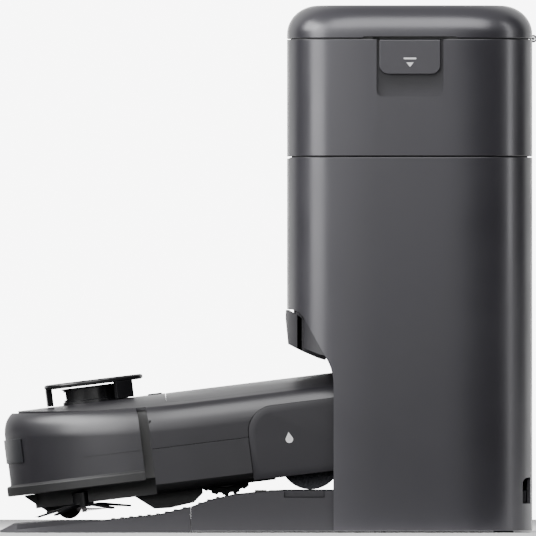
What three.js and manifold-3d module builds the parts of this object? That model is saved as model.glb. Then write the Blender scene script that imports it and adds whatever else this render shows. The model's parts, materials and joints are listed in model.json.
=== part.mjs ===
/**
 * Robot vacuum cleaner parked in its self-emptying, mop-washing dock.
 *
 * Millimetres, +Z up. The dock stands on z = 0, its ramp points along -X and its tower stands at +X.
 * "Left" is the -Y side of every piece, as the robot itself faces. The robot is drawn level in its own
 * group, with its origin on the ground under the centre of its round front, and is then tipped up the ramp.
 * Dock pieces are drawn with x measured from the tip of the ramp, and the whole is centred at the end.
 */
import * as THREE from "three";
import { mergeVertices } from "three/addons/utils/BufferGeometryUtils.js";
import Module from "manifold-3d";

const wasm = await Module();
wasm.setup();

// ---- Driving dimensions -------------------------------------------------------------------------

const GAP = 0.4; // clearance between two pieces that are fitted together
const FAR = 1000; // reaches past everything, for cutting tools

const ROBOT = {
  radius: 162, // of the round front, and half the width
  rearReach: 174.5, // from the centre of the round front back to the rear face
  rearCorner: 45,
  deck: 95, // height of the deck along its middle
  crownDrop: 9, // how far the deck falls at crownReach from its middle
  crownReach: 140,
  shoulderWidth: 13,
  shoulderDrop: 20,
  seam: 50, // height of the seam between chassis and upper shell
  skirt: 20, // lower edge of the side walls
  belly: 12,
  bellyInset: 18,
  wall: 2.5,
  sideFront: 40.5, // the full-width sides start this far ahead of the centre
};
const DOCKED = { pitch: THREE.MathUtils.degToRad(7), lipX: 6.7, lipZ: 29.4 };

const BUMPER = { lip: 3.5, bottom: 24.4, lipHeight: 8.6, wall: 3, travel: 4, sideGap: 8, ringWidth: 13 };
const BACKING = { radius: ROBOT.radius - 14.5, wall: 4, bottom: 26 };
const LENS = { spread: THREE.MathUtils.degToRad(24), thickness: 0.9, bottom: 52, top: 72 };

const TURRET = { toEdge: 79.5, radius: 41.8, capBottom: 109.4, capTop: 113.8, postWidth: 5, postSpread: 0.22 };
const DRUM = { radius: 27.5, bottom: 84, top: 108.6, stemRadius: 10, stemBottom: 64, room: 2 };
const BUTTON = { radius: 6, x: -32.5, y: 12, proud: 0.9, depth: 6 };
const COVER = { front: -23.5, rearMargin: 15, halfWidth: 134, corner: 20, thickness: 3, notch: 10, ledge: 6 };

const DUST_BOX = { front: -9.5, length: 66, halfWidth: 88, bottom: 44, height: 40, wall: 2 };
const BATTERY = { front: -97.5, length: 32, halfWidth: 60, bottom: 18, height: 22 };
const FAN = { x: 26.5, radius: 22, bottom: 17, height: 24 };
const BOARD = { front: -105.5, length: 65, halfWidth: 70, bottom: 60, thickness: 2 };

const WHEEL = { x: 18.5, radius: 33, rimRadius: 27, inner: 104, width: 30, axle: 5, lift: 12 };
const ARM = { pivotX: WHEEL.x - WHEEL.radius - 9.5, pivotZ: 40, thickness: 4, toWheel: 1.4, halfHeight: 7, pin: 3 };
const CASTER = { toEdge: 46.5, trail: 3, wheelRadius: 10.5, wheelWidth: 12, cupRadius: 16.4, cupTop: 23 };
const NOSE = { halfWidth: 28, bottom: 6.8 };
const BRUSH = { x: -34.5, z: 20, radius: 19.5, core: 9, halfLength: 86, vanes: 6, vane: 2.4 };
const GUARD = { front: -59.5, rear: -2.5, top: 14.6, halfLength: 96, margin: 1.2 };
const SWEEPER = { toEdge: 22, bearing: 0.745, hub: 9, bottom: 8.6, top: 21, arms: 5, reach: 41, droop: 4.4 };
const MOP = { x: 90.5, z: 26, radius: 26, halfLength: 141, stub: 4, lift: 8 };
const CARRIAGE = { halfLength: 30, halfWidth: 150, bottom: 24, top: 66, wall: 5 };
const MOP_COVER = { front: 41.5, rear: 152.5, bottom: 13.5, top: 74, inner: ROBOT.radius - 2.7, outer: ROBOT.radius + 1.2, corner: 22 };

const TOWER = { depth: 206, wall: 3, squareness: 5, outlineSteps: 48 };
const CABINET = { height: 315, split: 112, backSplit: 111.7 };
const TANK = { height: 98.8, wall: 2.5, floor: 3, columnHalf: 28, sideGap: 2.4 };
const LID = { height: 27.6, wall: 3, edgeWidth: 26, edgeDrop: 24, notchHalf: 39.5, notchHeight: 1.4 };
const HINGE = { radius: 3.2, pin: 1.4, bore: 1.8, behind: 1, middle: 8, outer: 20 };
const LATCH = { halfWidth: 25.6, height: 29, thickness: 2.8, corner: 7.5, barrel: 2.4, drop: 3.5 };
const POCKET = { halfWidth: 28, height: 48.5, depth: 14 };

const BAY = {
  sideRoom: 15, // between the robot's side and the side panel's inside
  depth: 109, // from the tower's front face to the bay's back wall
  rearRoom: 5.3, // between the parked robot and the back wall
  panelFront: 39, // the side panels start this far behind the tower's front face
  bendHeight: 124,
  topHeight: 187,
  lipHalf: 150,
  ceiling: 160,
  sheet: 3,
};
const DOOR = { bottom: BAY.topHeight + 0.2, top: CABINET.height - 1.2, halfWidth: CABINET.split - 0.5 };
const CHAMBER = { toFront: 7, depth: 92, halfWidth: 108, bottom: 192, topRoom: 7, wall: 2.5 };
const BAG = { room: 8, halfWidth: 88, topRoom: 16 };
const MOTOR = { toRear: 47, radius: 40, height: 60, bottom: 205 };
const PUMP = { toRear: 49, y: 90, radius: 18, height: 50, bottom: 55 };
const CONTACT = {
  y: 30,
  height: 39.678, // up the parked robot's rear face
  halfWidth: 9,
  halfHeight: 6,
  pad: 3.7,
  stem: 3,
  travel: 2.5,
};
const NOTCH = { toRear: 8.5, bottom: 24.4, top: 46.2, inner: CABINET.split, outer: CABINET.split + 38 };
const VENT = { count: 9, bottom: 86.5, pitch: 6.3, height: 3, halfWidth: 60 };

const BASE = { sideRoom: 8, bottom: 1.5, top: 35.3, wall: 3, length: 80.6 };
const TRAY = { toFront: 15, length: 70, halfWidth: 158, bottom: 9, top: 34.9, wall: 2, ribs: 7, ribHeight: 6 };
const WIPER = { toFront: 27, width: 10, halfLength: 140, depth: 3, proud: 0.8 };
const RIB = { first: 95, pitch: 7.5, width: 3, height: 0.8, halfWidth: 160 };
const FOOT = { height: 1.2, width: 16, halfLength: 150, toFront: 24, toRear: 32 };
const RAMP = { plateauHalf: 160, corner: 45, bottom: 0.5 };

// ---- Places worked out from them ----------------------------------------------------------------

const cosPitch = Math.cos(DOCKED.pitch);
const sinPitch = Math.sin(DOCKED.pitch);
const LIP_RADIUS = ROBOT.radius + BUMPER.lip;
const ROBOT_ORIGIN = {
  x: DOCKED.lipX + LIP_RADIUS * cosPitch + BUMPER.bottom * sinPitch,
  z: DOCKED.lipZ + LIP_RADIUS * sinPitch - BUMPER.bottom * cosPitch,
};
/** A point of the robot's own frame, in the dock's frame. */
const docked = (x, z) => ({
  x: ROBOT_ORIGIN.x + x * cosPitch - z * sinPitch,
  z: ROBOT_ORIGIN.z + x * sinPitch + z * cosPitch,
});

const BACK_WALL_X = docked(ROBOT.rearReach, ROBOT.skirt).x + BAY.rearRoom;
const FRONT_X = BACK_WALL_X - BAY.depth;
const REAR_X = FRONT_X + TOWER.depth;
const MID_X = (FRONT_X + REAR_X) / 2;
const HALF_WIDTH = ROBOT.radius + BAY.sideRoom + TOWER.wall;
const TIER_Z = CABINET.height;
const LID_Z = TIER_Z + 0.6 + TANK.height;
const TOTAL_LENGTH = REAR_X + HINGE.behind + HINGE.radius;
const BASE_X = FRONT_X - BASE.length;
const HINGE_X = REAR_X + HINGE.behind;
const BASE_HALF = HALF_WIDTH - BASE.sideRoom;
const CONTACT_Z = docked(ROBOT.rearReach, CONTACT.height).z;

// ---- Solids -------------------------------------------------------------------------------------

/** A closed geometry as a solid that can be joined and cut. */
function solid(geometry) {
  const bare = geometry.index ? geometry.toNonIndexed() : geometry.clone();
  bare.deleteAttribute("normal");
  bare.deleteAttribute("uv");
  const merged = mergeVertices(bare, 1e-4);
  const index = merged.index.array;
  const triVerts = [];
  for (let i = 0; i < index.length; i += 3) {
    const [a, b, c] = [index[i], index[i + 1], index[i + 2]];
    if (a !== b && b !== c && c !== a) triVerts.push(a, b, c);
  }
  const vertProperties = new Float32Array(merged.attributes.position.array);
  return new wasm.Manifold(
    new wasm.Mesh({ numProp: 3, vertProperties, triVerts: new Uint32Array(triVerts) }),
  );
}

/** A block between opposite corners. */
function box(x0, x1, y0, y1, z0, z1) {
  const block = new THREE.BoxGeometry(x1 - x0, y1 - y0, z1 - z0);
  return solid(block.translate((x0 + x1) / 2, (y0 + y1) / 2, (z0 + z1) / 2));
}

/** The same block on both sides of the middle plane, y0 to y1 away from it. */
const twoBoxes = (x0, x1, y0, y1, z0, z1) => box(x0, x1, y0, y1, z0, z1).add(box(x0, x1, -y1, -y0, z0, z1));

/** Everything with y between the two values. */
const slab = (y0, y1) => box(-FAR, FAR, y0, y1, -FAR, FAR);

const vectors = (points) => points.map(([x, y]) => new THREE.Vector2(x, y));
const flat = (outline, depth) =>
  new THREE.ExtrudeGeometry(new THREE.Shape(outline), { depth, bevelEnabled: false });

/** A plan outline carried straight up. */
const prismZ = (outline, z0, z1) => solid(flat(outline, z1 - z0).translate(0, 0, z0));

/** An outline in X and Z carried along Y. */
const prismY = (points, y0, y1) =>
  solid(flat(vectors(points), y1 - y0).rotateX(Math.PI / 2).translate(0, y1, 0));

/** An outline in Y and Z carried along X. */
const prismX = (points, x0, x1) =>
  solid(flat(vectors(points), x1 - x0).rotateX(Math.PI / 2).rotateZ(Math.PI / 2).translate(x0, 0, 0));

/** An upright cylinder. */
const postZ = (x, y, radius, z0, z1, sides = 32) =>
  solid(
    new THREE.CylinderGeometry(radius, radius, z1 - z0, sides)
      .rotateX(Math.PI / 2)
      .translate(x, y, (z0 + z1) / 2),
  );

/** A cylinder lying along Y. */
const rodY = (x, z, radius, y0, y1, sides = 24) =>
  solid(new THREE.CylinderGeometry(radius, radius, y1 - y0, sides).translate(x, (y0 + y1) / 2, z));

/** A cylinder lying along X. */
const rodX = (y, z, radius, x0, x1, sides = 16) =>
  solid(
    new THREE.CylinderGeometry(radius, radius, x1 - x0, sides)
      .rotateZ(Math.PI / 2)
      .translate((x0 + x1) / 2, y, z),
  );

/** A prism whose top edge is rounded over, width inwards by drop downwards. */
function domed(outline, z0, z1, width, drop, steps) {
  const rounded = new THREE.ExtrudeGeometry(new THREE.Shape(outline), {
    depth: z1 - z0 - drop,
    bevelThickness: drop,
    bevelSize: width,
    bevelOffset: -width,
    bevelSegments: steps,
  });
  return solid(rounded.translate(0, 0, z0)).intersect(box(-FAR, FAR, -FAR, FAR, z0, z1 + 1));
}

/** Points of an arc, its ends included. */
function arc(x, y, radius, from, to, steps) {
  const points = [];
  for (let i = 0; i <= steps; i++) {
    const angle = from + ((to - from) * i) / steps;
    points.push(new THREE.Vector2(x + radius * Math.cos(angle), y + radius * Math.sin(angle)));
  }
  return points;
}

/** A rectangle with round corners, as an outline. */
function roundedRectangle(x0, x1, y0, y1, radius, steps = 5) {
  const quarter = Math.PI / 2;
  return [
    ...arc(x1 - radius, y1 - radius, radius, 0, quarter, steps),
    ...arc(x0 + radius, y1 - radius, radius, quarter, 2 * quarter, steps),
    ...arc(x0 + radius, y0 + radius, radius, 2 * quarter, 3 * quarter, steps),
    ...arc(x1 - radius, y0 + radius, radius, 3 * quarter, 4 * quarter, steps),
  ];
}

/** Height on a line of points (x, z) that runs along +X. */
function heightOn(line, x) {
  const next = Math.max(1, line.findIndex(([px]) => px >= x));
  const [[xa, za], [xb, zb]] = [line[next - 1], line[next]];
  return za + ((zb - za) * (x - xa)) / (xb - xa);
}

/** A finished solid as a named mesh. */
function mesh(name, shape, material) {
  const { numProp, vertProperties, triVerts } = shape.getMesh();
  const geometry = new THREE.BufferGeometry();
  const data = new THREE.InterleavedBuffer(vertProperties, numProp);
  geometry.setAttribute("position", new THREE.InterleavedBufferAttribute(data, 3, 0));
  geometry.setIndex(new THREE.BufferAttribute(triVerts, 1));
  const faceted = geometry.toNonIndexed();
  faceted.computeVertexNormals();
  const made = new THREE.Mesh(faceted, material);
  made.name = name;
  return made;
}

const finish = (color, roughness, metalness = 0) =>
  new THREE.MeshStandardMaterial({ color, roughness, metalness });

const SHELL_GREY = finish(0x4c4b50, 0.42, 0.25);
const DARK_GREY = finish(0x2c2c2f, 0.5);
const BASE_GREY = finish(0x3d3c40, 0.6);
const BLACK = finish(0x161617, 0.45);
const RUBBER = finish(0x1d1d1e, 0.85);
const WHITE_PLASTIC = finish(0xd8d8d4, 0.5);
const CLEAR_GREY = finish(0x5b5c61, 0.2);
const STEEL = finish(0xb4b6b8, 0.3, 1);
const GOLD = finish(0xc9a24a, 0.3, 1);
const BOARD_GREEN = finish(0x1f4a30, 0.6);
const BAG_PAPER = finish(0xe4e0d5, 0.9);
const FLEECE = finish(0x55565b, 0.95);
const BRISTLE = finish(0x3a2c31, 0.7);

// ---- Tower --------------------------------------------------------------------------------------

/** Plan outline of the tower, a rounded square, pulled in by inset. */
function towerOutline(inset) {
  const softened = (c) => Math.sign(c) * Math.abs(c) ** (2 / TOWER.squareness);
  const points = [];
  for (let i = 0; i < TOWER.outlineSteps; i++) {
    const turn = (i / TOWER.outlineSteps) * 2 * Math.PI;
    const x = MID_X + (TOWER.depth / 2 - inset) * softened(Math.cos(turn));
    points.push(new THREE.Vector2(x, (HALF_WIDTH - inset) * softened(Math.sin(turn))));
  }
  return points;
}

/** The tower's wall between two heights. */
const towerRing = (z0, z1) =>
  prismZ(towerOutline(0), z0, z1).subtract(prismZ(towerOutline(TOWER.wall), z0 - 1, z1 + 1));

/** The room that the side panels leave for the robot, pulled back by inset. */
function bayCut(inset) {
  const x = FRONT_X + BAY.panelFront - inset;
  const bend = new THREE.QuadraticBezierCurve(
    new THREE.Vector2(x, BAY.bendHeight),
    new THREE.Vector2(x, BAY.bendHeight + 12),
    new THREE.Vector2(x - 6, BAY.bendHeight + 22 - inset),
  );
  const brow = new THREE.QuadraticBezierCurve(
    new THREE.Vector2(x - 24, BAY.topHeight - 8.5 - inset),
    new THREE.Vector2(x - 28.5, BAY.topHeight - inset),
    new THREE.Vector2(x - 37, BAY.topHeight - inset),
  );
  const outline = [
    new THREE.Vector2(-10, -1),
    new THREE.Vector2(x, -1),
    ...bend.getPoints(4),
    ...brow.getPoints(5),
    new THREE.Vector2(-10, BAY.topHeight - inset),
  ];
  return prismY(outline.map((p) => [p.x, p.y]), -FAR, FAR);
}

/** The recess at the left rear corner where the mains inlet sits. */
const cordNotch = () =>
  box(REAR_X - NOTCH.toRear, FAR, -NOTCH.outer, -NOTCH.inner, NOTCH.bottom, NOTCH.top);

function sidePanel(side) {
  const reach = side < 0 ? slab(-FAR, -CABINET.split) : slab(CABINET.split, FAR);
  return towerRing(BASE.bottom, TIER_Z - GAP).intersect(reach).subtract(bayCut(0)).subtract(cordNotch());
}

function rearCover() {
  const reach = box(MID_X, FAR, -CABINET.backSplit, CABINET.backSplit, -FAR, FAR);
  let cover = towerRing(BASE.bottom, TIER_Z - GAP).intersect(reach).subtract(cordNotch());
  for (let i = 0; i < VENT.count; i++) {
    const z = VENT.bottom + i * VENT.pitch;
    cover = cover.subtract(box(MID_X, FAR, -VENT.halfWidth, VENT.halfWidth, z, z + VENT.height));
  }
  return cover;
}

function frontDoor() {
  return towerRing(DOOR.bottom, DOOR.top).intersect(box(-FAR, MID_X, -DOOR.halfWidth, DOOR.halfWidth, 0, FAR));
}

/** The brow over the bay and the ceiling behind it, one bent sheet with closed ends. */
function bayHood() {
  const at = (x, z) => [FRONT_X + x, z];
  const top = BAY.topHeight - GAP;
  const under = [at(-1, top), at(-1.3, 180), at(0.9, 158), at(12.7, 152), at(26.1, 146.2), at(32, 144.5)];
  const rise = at(41, BAY.ceiling);
  const over = [at(30.5, 148.5), at(13.5, 155.6), at(4.3, 160.6), at(2.4, 180), at(2.4, top)];
  const ceilingTop = at(39.3, BAY.ceiling + BAY.sheet);
  const lip = prismY([...under, rise, ceilingTop, ...over], -BAY.lipHalf, BAY.lipHalf);
  const ends = prismY([...under, rise, at(41, top)], -BAY.lipHalf, BAY.lipHalf).subtract(
    slab(BAY.sheet - BAY.lipHalf, BAY.lipHalf - BAY.sheet),
  );
  const ceiling = box(
    FRONT_X + 40, BACK_WALL_X - GAP, -BASE_HALF, BASE_HALF, BAY.ceiling, BAY.ceiling + BAY.sheet,
  );
  const outside = box(FRONT_X - 9, BACK_WALL_X, -HALF_WIDTH, HALF_WIDTH, BAY.bendHeight, 2 * top)
    .subtract(prismZ(towerOutline(TOWER.wall + GAP), 0, 2 * top + 1));
  const panels = outside.subtract(bayCut(GAP)).subtract(slab(GAP - CABINET.split, CABINET.split - GAP));
  const plan = prismZ(towerOutline(-1.3), 0, FAR);
  return lip.add(ends).intersect(plan).subtract(panels).add(ceiling);
}

/** The wall behind the parked robot, with a hole for each charging contact. */
function bayBackWall() {
  let wall = box(
    BACK_WALL_X, BACK_WALL_X + BAY.sheet, -BASE_HALF, BASE_HALF, BASE.top + GAP, BAY.ceiling - GAP,
  );
  for (const y of [-CONTACT.y, CONTACT.y]) {
    wall = wall.subtract(rodX(y, CONTACT_Z, CONTACT.stem + GAP, BACK_WALL_X - 1, BACK_WALL_X + 9));
  }
  return wall;
}

function chargeContact(side) {
  const y = side * CONTACT.y;
  const front = BACK_WALL_X - CONTACT.travel - CONTACT.pad - 0.3;
  return box(
    front, front + CONTACT.pad, y - CONTACT.halfWidth, y + CONTACT.halfWidth,
    CONTACT_Z - CONTACT.halfHeight, CONTACT_Z + CONTACT.halfHeight,
  ).add(rodX(y, CONTACT_Z, CONTACT.stem, front + 1, BACK_WALL_X + BAY.sheet + 3));
}

const tierDeck = () => prismZ(towerOutline(TOWER.wall + GAP), TIER_Z - 4, TIER_Z);

/** The spine between the two tanks, which carries the middle knuckle of the lid's hinge. */
function centreColumn() {
  const top = LID_Z - 1;
  const block = prismZ(towerOutline(0), TIER_Z + GAP, top).intersect(slab(-TANK.columnHalf, TANK.columnHalf));
  const half = TANK.columnHalf - TANK.wall;
  const hollow = prismZ(towerOutline(TOWER.wall), TIER_Z, top - TOWER.wall).intersect(slab(-half, half));
  const outerKnuckles = twoBoxes(
    REAR_X - TOWER.wall - GAP, FAR, HINGE.middle + GAP, HINGE.outer + GAP, LID_Z - 2 * HINGE.radius, FAR,
  );
  const knuckle = rodY(HINGE_X, LID_Z, HINGE.radius, -HINGE.middle, HINGE.middle, 16);
  const bore = rodY(HINGE_X, LID_Z, HINGE.bore, -FAR, FAR, 12);
  return block.subtract(hollow).subtract(outerKnuckles).add(knuckle).subtract(bore);
}

/** The pocket behind a tank's latch, grown by extra on the sides that are not open. */
function latchPocket(side, extra) {
  const inner = HALF_WIDTH - POCKET.depth - extra;
  const [y0, y1] = side < 0 ? [-FAR, -inner] : [inner, FAR];
  const half = POCKET.halfWidth + extra;
  return box(MID_X - half, MID_X + half, y0, y1, LID_Z - 0.4 - POCKET.height - extra, LID_Z + 1);
}

function tankShell(side) {
  const bottom = TIER_Z + 0.6;
  const top = LID_Z - 1;
  const inner = TANK.columnHalf + TANK.sideGap;
  const half = (from) => (side < 0 ? slab(-FAR, -from) : slab(from, FAR));
  const block = prismZ(towerOutline(0), bottom, top).intersect(half(inner));
  const hollow = prismZ(towerOutline(TANK.wall), bottom + TANK.floor, FAR)
    .intersect(half(inner + TANK.wall))
    .subtract(latchPocket(side, TANK.wall));
  return block.subtract(hollow).subtract(latchPocket(side, 0));
}

function tankTop(side) {
  const inner = TANK.columnHalf + TANK.sideGap + TANK.wall + GAP;
  const reach = side < 0 ? slab(-FAR, -inner) : slab(inner, FAR);
  return prismZ(towerOutline(TANK.wall + 2 * GAP), LID_Z - 5, LID_Z - 1.4)
    .intersect(reach)
    .subtract(latchPocket(side, TANK.wall + GAP));
}

/** The pull that frees a tank, a plate that swings on a barrel along its top. */
function tankLatch(side) {
  const top = LID_Z - 1.4;
  const { halfWidth, corner } = LATCH;
  const plate = [
    [MID_X + halfWidth, top],
    [MID_X - halfWidth, top],
    ...arc(MID_X - halfWidth + corner, top - LATCH.height + corner, corner, Math.PI, 1.5 * Math.PI, 5).map(
      (p) => [p.x, p.y],
    ),
    ...arc(MID_X + halfWidth - corner, top - LATCH.height + corner, corner, 1.5 * Math.PI, 2 * Math.PI, 5).map(
      (p) => [p.x, p.y],
    ),
  ];
  const outer = HALF_WIDTH - 0.2;
  const [y0, y1] = side < 0 ? [-outer, LATCH.thickness - outer] : [outer - LATCH.thickness, outer];
  const barrelY = side * (outer - LATCH.thickness - 1);
  const barrel = rodX(barrelY, top - LATCH.drop, LATCH.barrel, MID_X - halfWidth, MID_X + halfWidth, 12);
  return prismY(plate, y0, y1).add(barrel);
}

function topLid() {
  const top = LID_Z + LID.height;
  const { wall, edgeWidth, edgeDrop } = LID;
  const outer = domed(towerOutline(0), LID_Z, top, edgeWidth, edgeDrop, 6);
  const inner = domed(towerOutline(wall), LID_Z - 1, top - wall, edgeWidth - wall, edgeDrop - wall, 4);
  const fingerGap = box(
    MID_X - LID.notchHalf, MID_X + LID.notchHalf, -FAR, FAR, LID_Z - 1, LID_Z + LID.notchHeight,
  );
  const middle = box(
    REAR_X - wall - GAP, FAR, -HINGE.middle - GAP, HINGE.middle + GAP, LID_Z - 1, LID_Z + HINGE.radius + 1,
  );
  const knuckles = rodY(HINGE_X, LID_Z, HINGE.radius, -HINGE.outer, HINGE.outer, 16).subtract(
    slab(-HINGE.middle - 1, HINGE.middle + 1),
  );
  const bore = rodY(HINGE_X, LID_Z, HINGE.bore, -FAR, FAR, 12);
  return outer.subtract(inner).subtract(fingerGap).subtract(middle).add(knuckles).subtract(bore);
}

const lidHingePin = () => rodY(HINGE_X, LID_Z, HINGE.pin, -HINGE.outer - 1, HINGE.outer + 1, 12);

// ---- Inside the cabinet -------------------------------------------------------------------------

const CHAMBER_FRONT = FRONT_X + CHAMBER.toFront;
const CHAMBER_TOP = TIER_Z - CHAMBER.topRoom;

function bagChamber() {
  const { halfWidth, wall, bottom, depth } = CHAMBER;
  const inside = halfWidth - wall;
  const rear = CHAMBER_FRONT + depth;
  return box(CHAMBER_FRONT, rear, -halfWidth, halfWidth, bottom, CHAMBER_TOP).subtract(
    box(CHAMBER_FRONT - 1, rear - wall, -inside, inside, bottom + wall, CHAMBER_TOP - wall),
  );
}

function dustBag() {
  const front = CHAMBER_FRONT + BAG.room;
  const rear = CHAMBER_FRONT + CHAMBER.depth - CHAMBER.wall - 3;
  const outline = roundedRectangle(front, rear, -BAG.halfWidth, BAG.halfWidth, 22);
  return domed(outline, CHAMBER.bottom + CHAMBER.wall + 3, CHAMBER_TOP - BAG.topRoom, 14, 14, 3);
}

/** The stiff card on the bag, with the hole that the dust comes through. */
function bagCollar() {
  const x = CHAMBER_FRONT + CHAMBER.depth / 2 + 2;
  const bottom = CHAMBER_TOP - BAG.topRoom + 2;
  return box(x - 30, x + 30, -35, 35, bottom, bottom + 3).subtract(postZ(x, 0, 22, bottom - 1, bottom + 4));
}

/** The blower that empties the robot: a can with a narrower inlet neck on top. */
function suctionMotor() {
  const { radius, height, bottom } = MOTOR;
  const profile = [
    [0, 0], [radius - 3, 0], [radius, 3], [radius, height - 12], [radius - 6, height - 6],
    [radius - 20, height - 6], [radius - 20, height], [0, height],
  ];
  const can = new THREE.LatheGeometry(vectors(profile), 28).rotateX(Math.PI / 2);
  return solid(can.translate(REAR_X - MOTOR.toRear, 0, bottom));
}

function waterPump() {
  const x = REAR_X - PUMP.toRear;
  const nozzle = postZ(x, PUMP.y, 5, PUMP.bottom + PUMP.height - 1, PUMP.bottom + PUMP.height + 14, 12);
  return postZ(x, PUMP.y, PUMP.radius, PUMP.bottom, PUMP.bottom + PUMP.height, 24).add(nozzle);
}

const powerBoard = () => box(BACK_WALL_X + 10, BACK_WALL_X + 12, -80, 80, 60, 180);

const INLET_FACE = REAR_X - NOTCH.toRear - GAP;
const INLET_DEPTH = 14;

/** The mains inlet: a shrouded socket with two flat pins. */
function inletSocket() {
  const y = -(NOTCH.inner + 11);
  const z = (NOTCH.bottom + NOTCH.top) / 2;
  const halfHeight = (NOTCH.top - NOTCH.bottom) / 2;
  const body = box(
    INLET_FACE - INLET_DEPTH, INLET_FACE, y - 9, y + 9, z - halfHeight + GAP, z + halfHeight - GAP,
  );
  const well = box(INLET_FACE - 9, FAR, y - 6, y + 6, z - halfHeight + 5, z + halfHeight - 5);
  const pin = (from) => box(INLET_FACE - 10, INLET_FACE - 2, from, from + 1.6, z - 1.5, z + 1.5);
  return body.subtract(well).add(pin(y - 4)).add(pin(y + 2.4));
}

// ---- Base and ramp ------------------------------------------------------------------------------

const RAMP_REAR = BASE_X - GAP;
const BASE_LINE = [
  [BASE_X, 21],
  [FRONT_X - 63, 27.3],
  [FRONT_X - 44, 31.5],
  [FRONT_X - 23, 33.8],
  [FRONT_X - 2, BASE.top],
  [REAR_X, BASE.top],
];
const RAMP_LINE = [
  [0, 1.4],
  [8.4, 2.2],
  [51, 6.1],
  [RAMP_REAR - 74, 9.6],
  [RAMP_REAR - 26, 14.7],
  [RAMP_REAR, 21],
];
const PLATEAU_LINE = [
  [0.6, 1.4],
  [11.8, 7.2],
  [46, 9.5],
  [63, 10],
  [RAMP_REAR - 83, 10],
  [RAMP_REAR - 74, 9.7],
];

/** The solid under a line of heights, down to bottom. */
function under(line, bottom, halfWidth) {
  const outline = [...line, [line.at(-1)[0], bottom], [line[0][0], bottom]].reverse();
  return prismY(outline, -halfWidth, halfWidth);
}

/** Grip ribs across a slope, from x0 to x1. */
function gripRibs(line, x0, x1) {
  let ribs = null;
  for (let x = x0; x <= x1; x += RIB.pitch) {
    const z = heightOn(line, x);
    const rib = box(x - RIB.width / 2, x + RIB.width / 2, -RIB.halfWidth, RIB.halfWidth, z - 1.5, z + RIB.height);
    ribs = ribs ? ribs.add(rib) : rib;
  }
  return ribs;
}

/** Room for a rubber foot strip under the base. */
const footRoom = (x) =>
  box(x - GAP, x + FOOT.width + GAP, -FOOT.halfLength - GAP, FOOT.halfLength + GAP, -1, FOOT.height + GAP);

const FRONT_FOOT_X = FOOT.toFront;
const REAR_FOOT_X = REAR_X - FOOT.toRear;

function rampToe() {
  const { corner, bottom } = RAMP;
  const half = BASE_HALF;
  const plan = prismZ(
    [
      ...vectors([[RAMP_REAR + 1, -half], [RAMP_REAR + 1, half]]),
      ...arc(corner, half - corner, corner, Math.PI / 2, Math.PI, 8),
      ...arc(corner, corner - half, corner, Math.PI, 1.5 * Math.PI, 8),
    ],
    -1,
    60,
  );
  return under(RAMP_LINE, bottom, half)
    .add(under(PLATEAU_LINE, bottom, RAMP.plateauHalf))
    .add(gripRibs(RAMP_LINE, RIB.first, RAMP_REAR - RIB.width))
    .intersect(plan)
    .subtract(footRoom(FRONT_FOOT_X));
}

const TRAY_FRONT = FRONT_X - TRAY.toFront;
const WIPER_X = FRONT_X - WIPER.toFront;
const WIPER_Z = heightOn(BASE_LINE, WIPER_X + WIPER.width);
const TAB = { front: 13, length: 33, bottom: 30, reach: 13 };

/** The dock's floor: a hollow casting under the robot and the tower, with a basin for the tray. */
function basePlate() {
  const { bottom, wall } = BASE;
  const halfWidth = BASE_HALF;
  const block = under(BASE_LINE, bottom, halfWidth).add(
    gripRibs(BASE_LINE, BASE_X + RIB.pitch, BASE_X + 0.5 * BASE.length),
  );
  const towerPlan = prismZ(towerOutline(TOWER.wall + GAP), 0, 60).add(box(-FAR, FRONT_X + BAY.panelFront - GAP, -FAR, FAR, 0, 60));
  const lowered = BASE_LINE.map(([x, z]) => [x, z - wall]);
  const inside = under(lowered, -1, halfWidth - wall)
    .intersect(box(BASE_X + wall, REAR_X - 30, -FAR, FAR, -1, 60))
    .subtract(box(WIPER_X - wall - GAP, TRAY_FRONT + TRAY.length + wall + GAP, -FAR, FAR, -1, 60));
  const basinHalf = TRAY.halfWidth + GAP;
  const basin = box(
    TRAY_FRONT - GAP, TRAY_FRONT + TRAY.length + GAP, -basinHalf, basinHalf, TRAY.bottom - GAP, 60,
  );
  const tabRoom = box(
    TRAY_FRONT + TAB.front - GAP, TRAY_FRONT + TAB.front + TAB.length + GAP, -FAR, -TRAY.halfWidth,
    TAB.bottom - GAP, 60,
  );
  const inletRoom = box(INLET_FACE - INLET_DEPTH - GAP, FAR, -NOTCH.outer, -NOTCH.inner, NOTCH.bottom, 60);
  const wiperEnd = WIPER.halfLength + GAP;
  const wiperRoom = box(
    WIPER_X - GAP, WIPER_X + WIPER.width + GAP, -wiperEnd, wiperEnd, WIPER_Z - WIPER.depth - GAP, 60,
  );
  return block.intersect(towerPlan).subtract(inside).subtract(basin).subtract(tabRoom).subtract(inletRoom)
    .subtract(wiperRoom).subtract(footRoom(REAR_FOOT_X));
}

/** The lift-out tray that the mop is washed over, with its scrubbing ribs. */
function washingTray() {
  const { length, halfWidth, bottom, top, wall, ribs, ribHeight } = TRAY;
  const rear = TRAY_FRONT + length;
  let tray = box(TRAY_FRONT, rear, -halfWidth, halfWidth, bottom, top).subtract(
    box(TRAY_FRONT + wall, rear - wall, wall - halfWidth, halfWidth - wall, bottom + wall, 60),
  );
  for (let i = 1; i <= ribs; i++) {
    const x = TRAY_FRONT + (i * length) / (ribs + 1);
    tray = tray.add(box(x - 0.9, x + 0.9, 1 - halfWidth, halfWidth - 1, bottom + 1, bottom + wall + ribHeight));
  }
  const tab = box(
    TRAY_FRONT + TAB.front, TRAY_FRONT + TAB.front + TAB.length, -halfWidth - TAB.reach, 1 - halfWidth,
    TAB.bottom, BASE.top,
  );
  return tray.add(tab);
}

/** The rubber strip let into the floor in front of the tray, which keeps drips in the bay. */
const wiperStrip = () =>
  box(
    WIPER_X, WIPER_X + WIPER.width, -WIPER.halfLength, WIPER.halfLength, WIPER_Z - WIPER.depth,
    WIPER_Z + WIPER.proud,
  );

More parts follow.
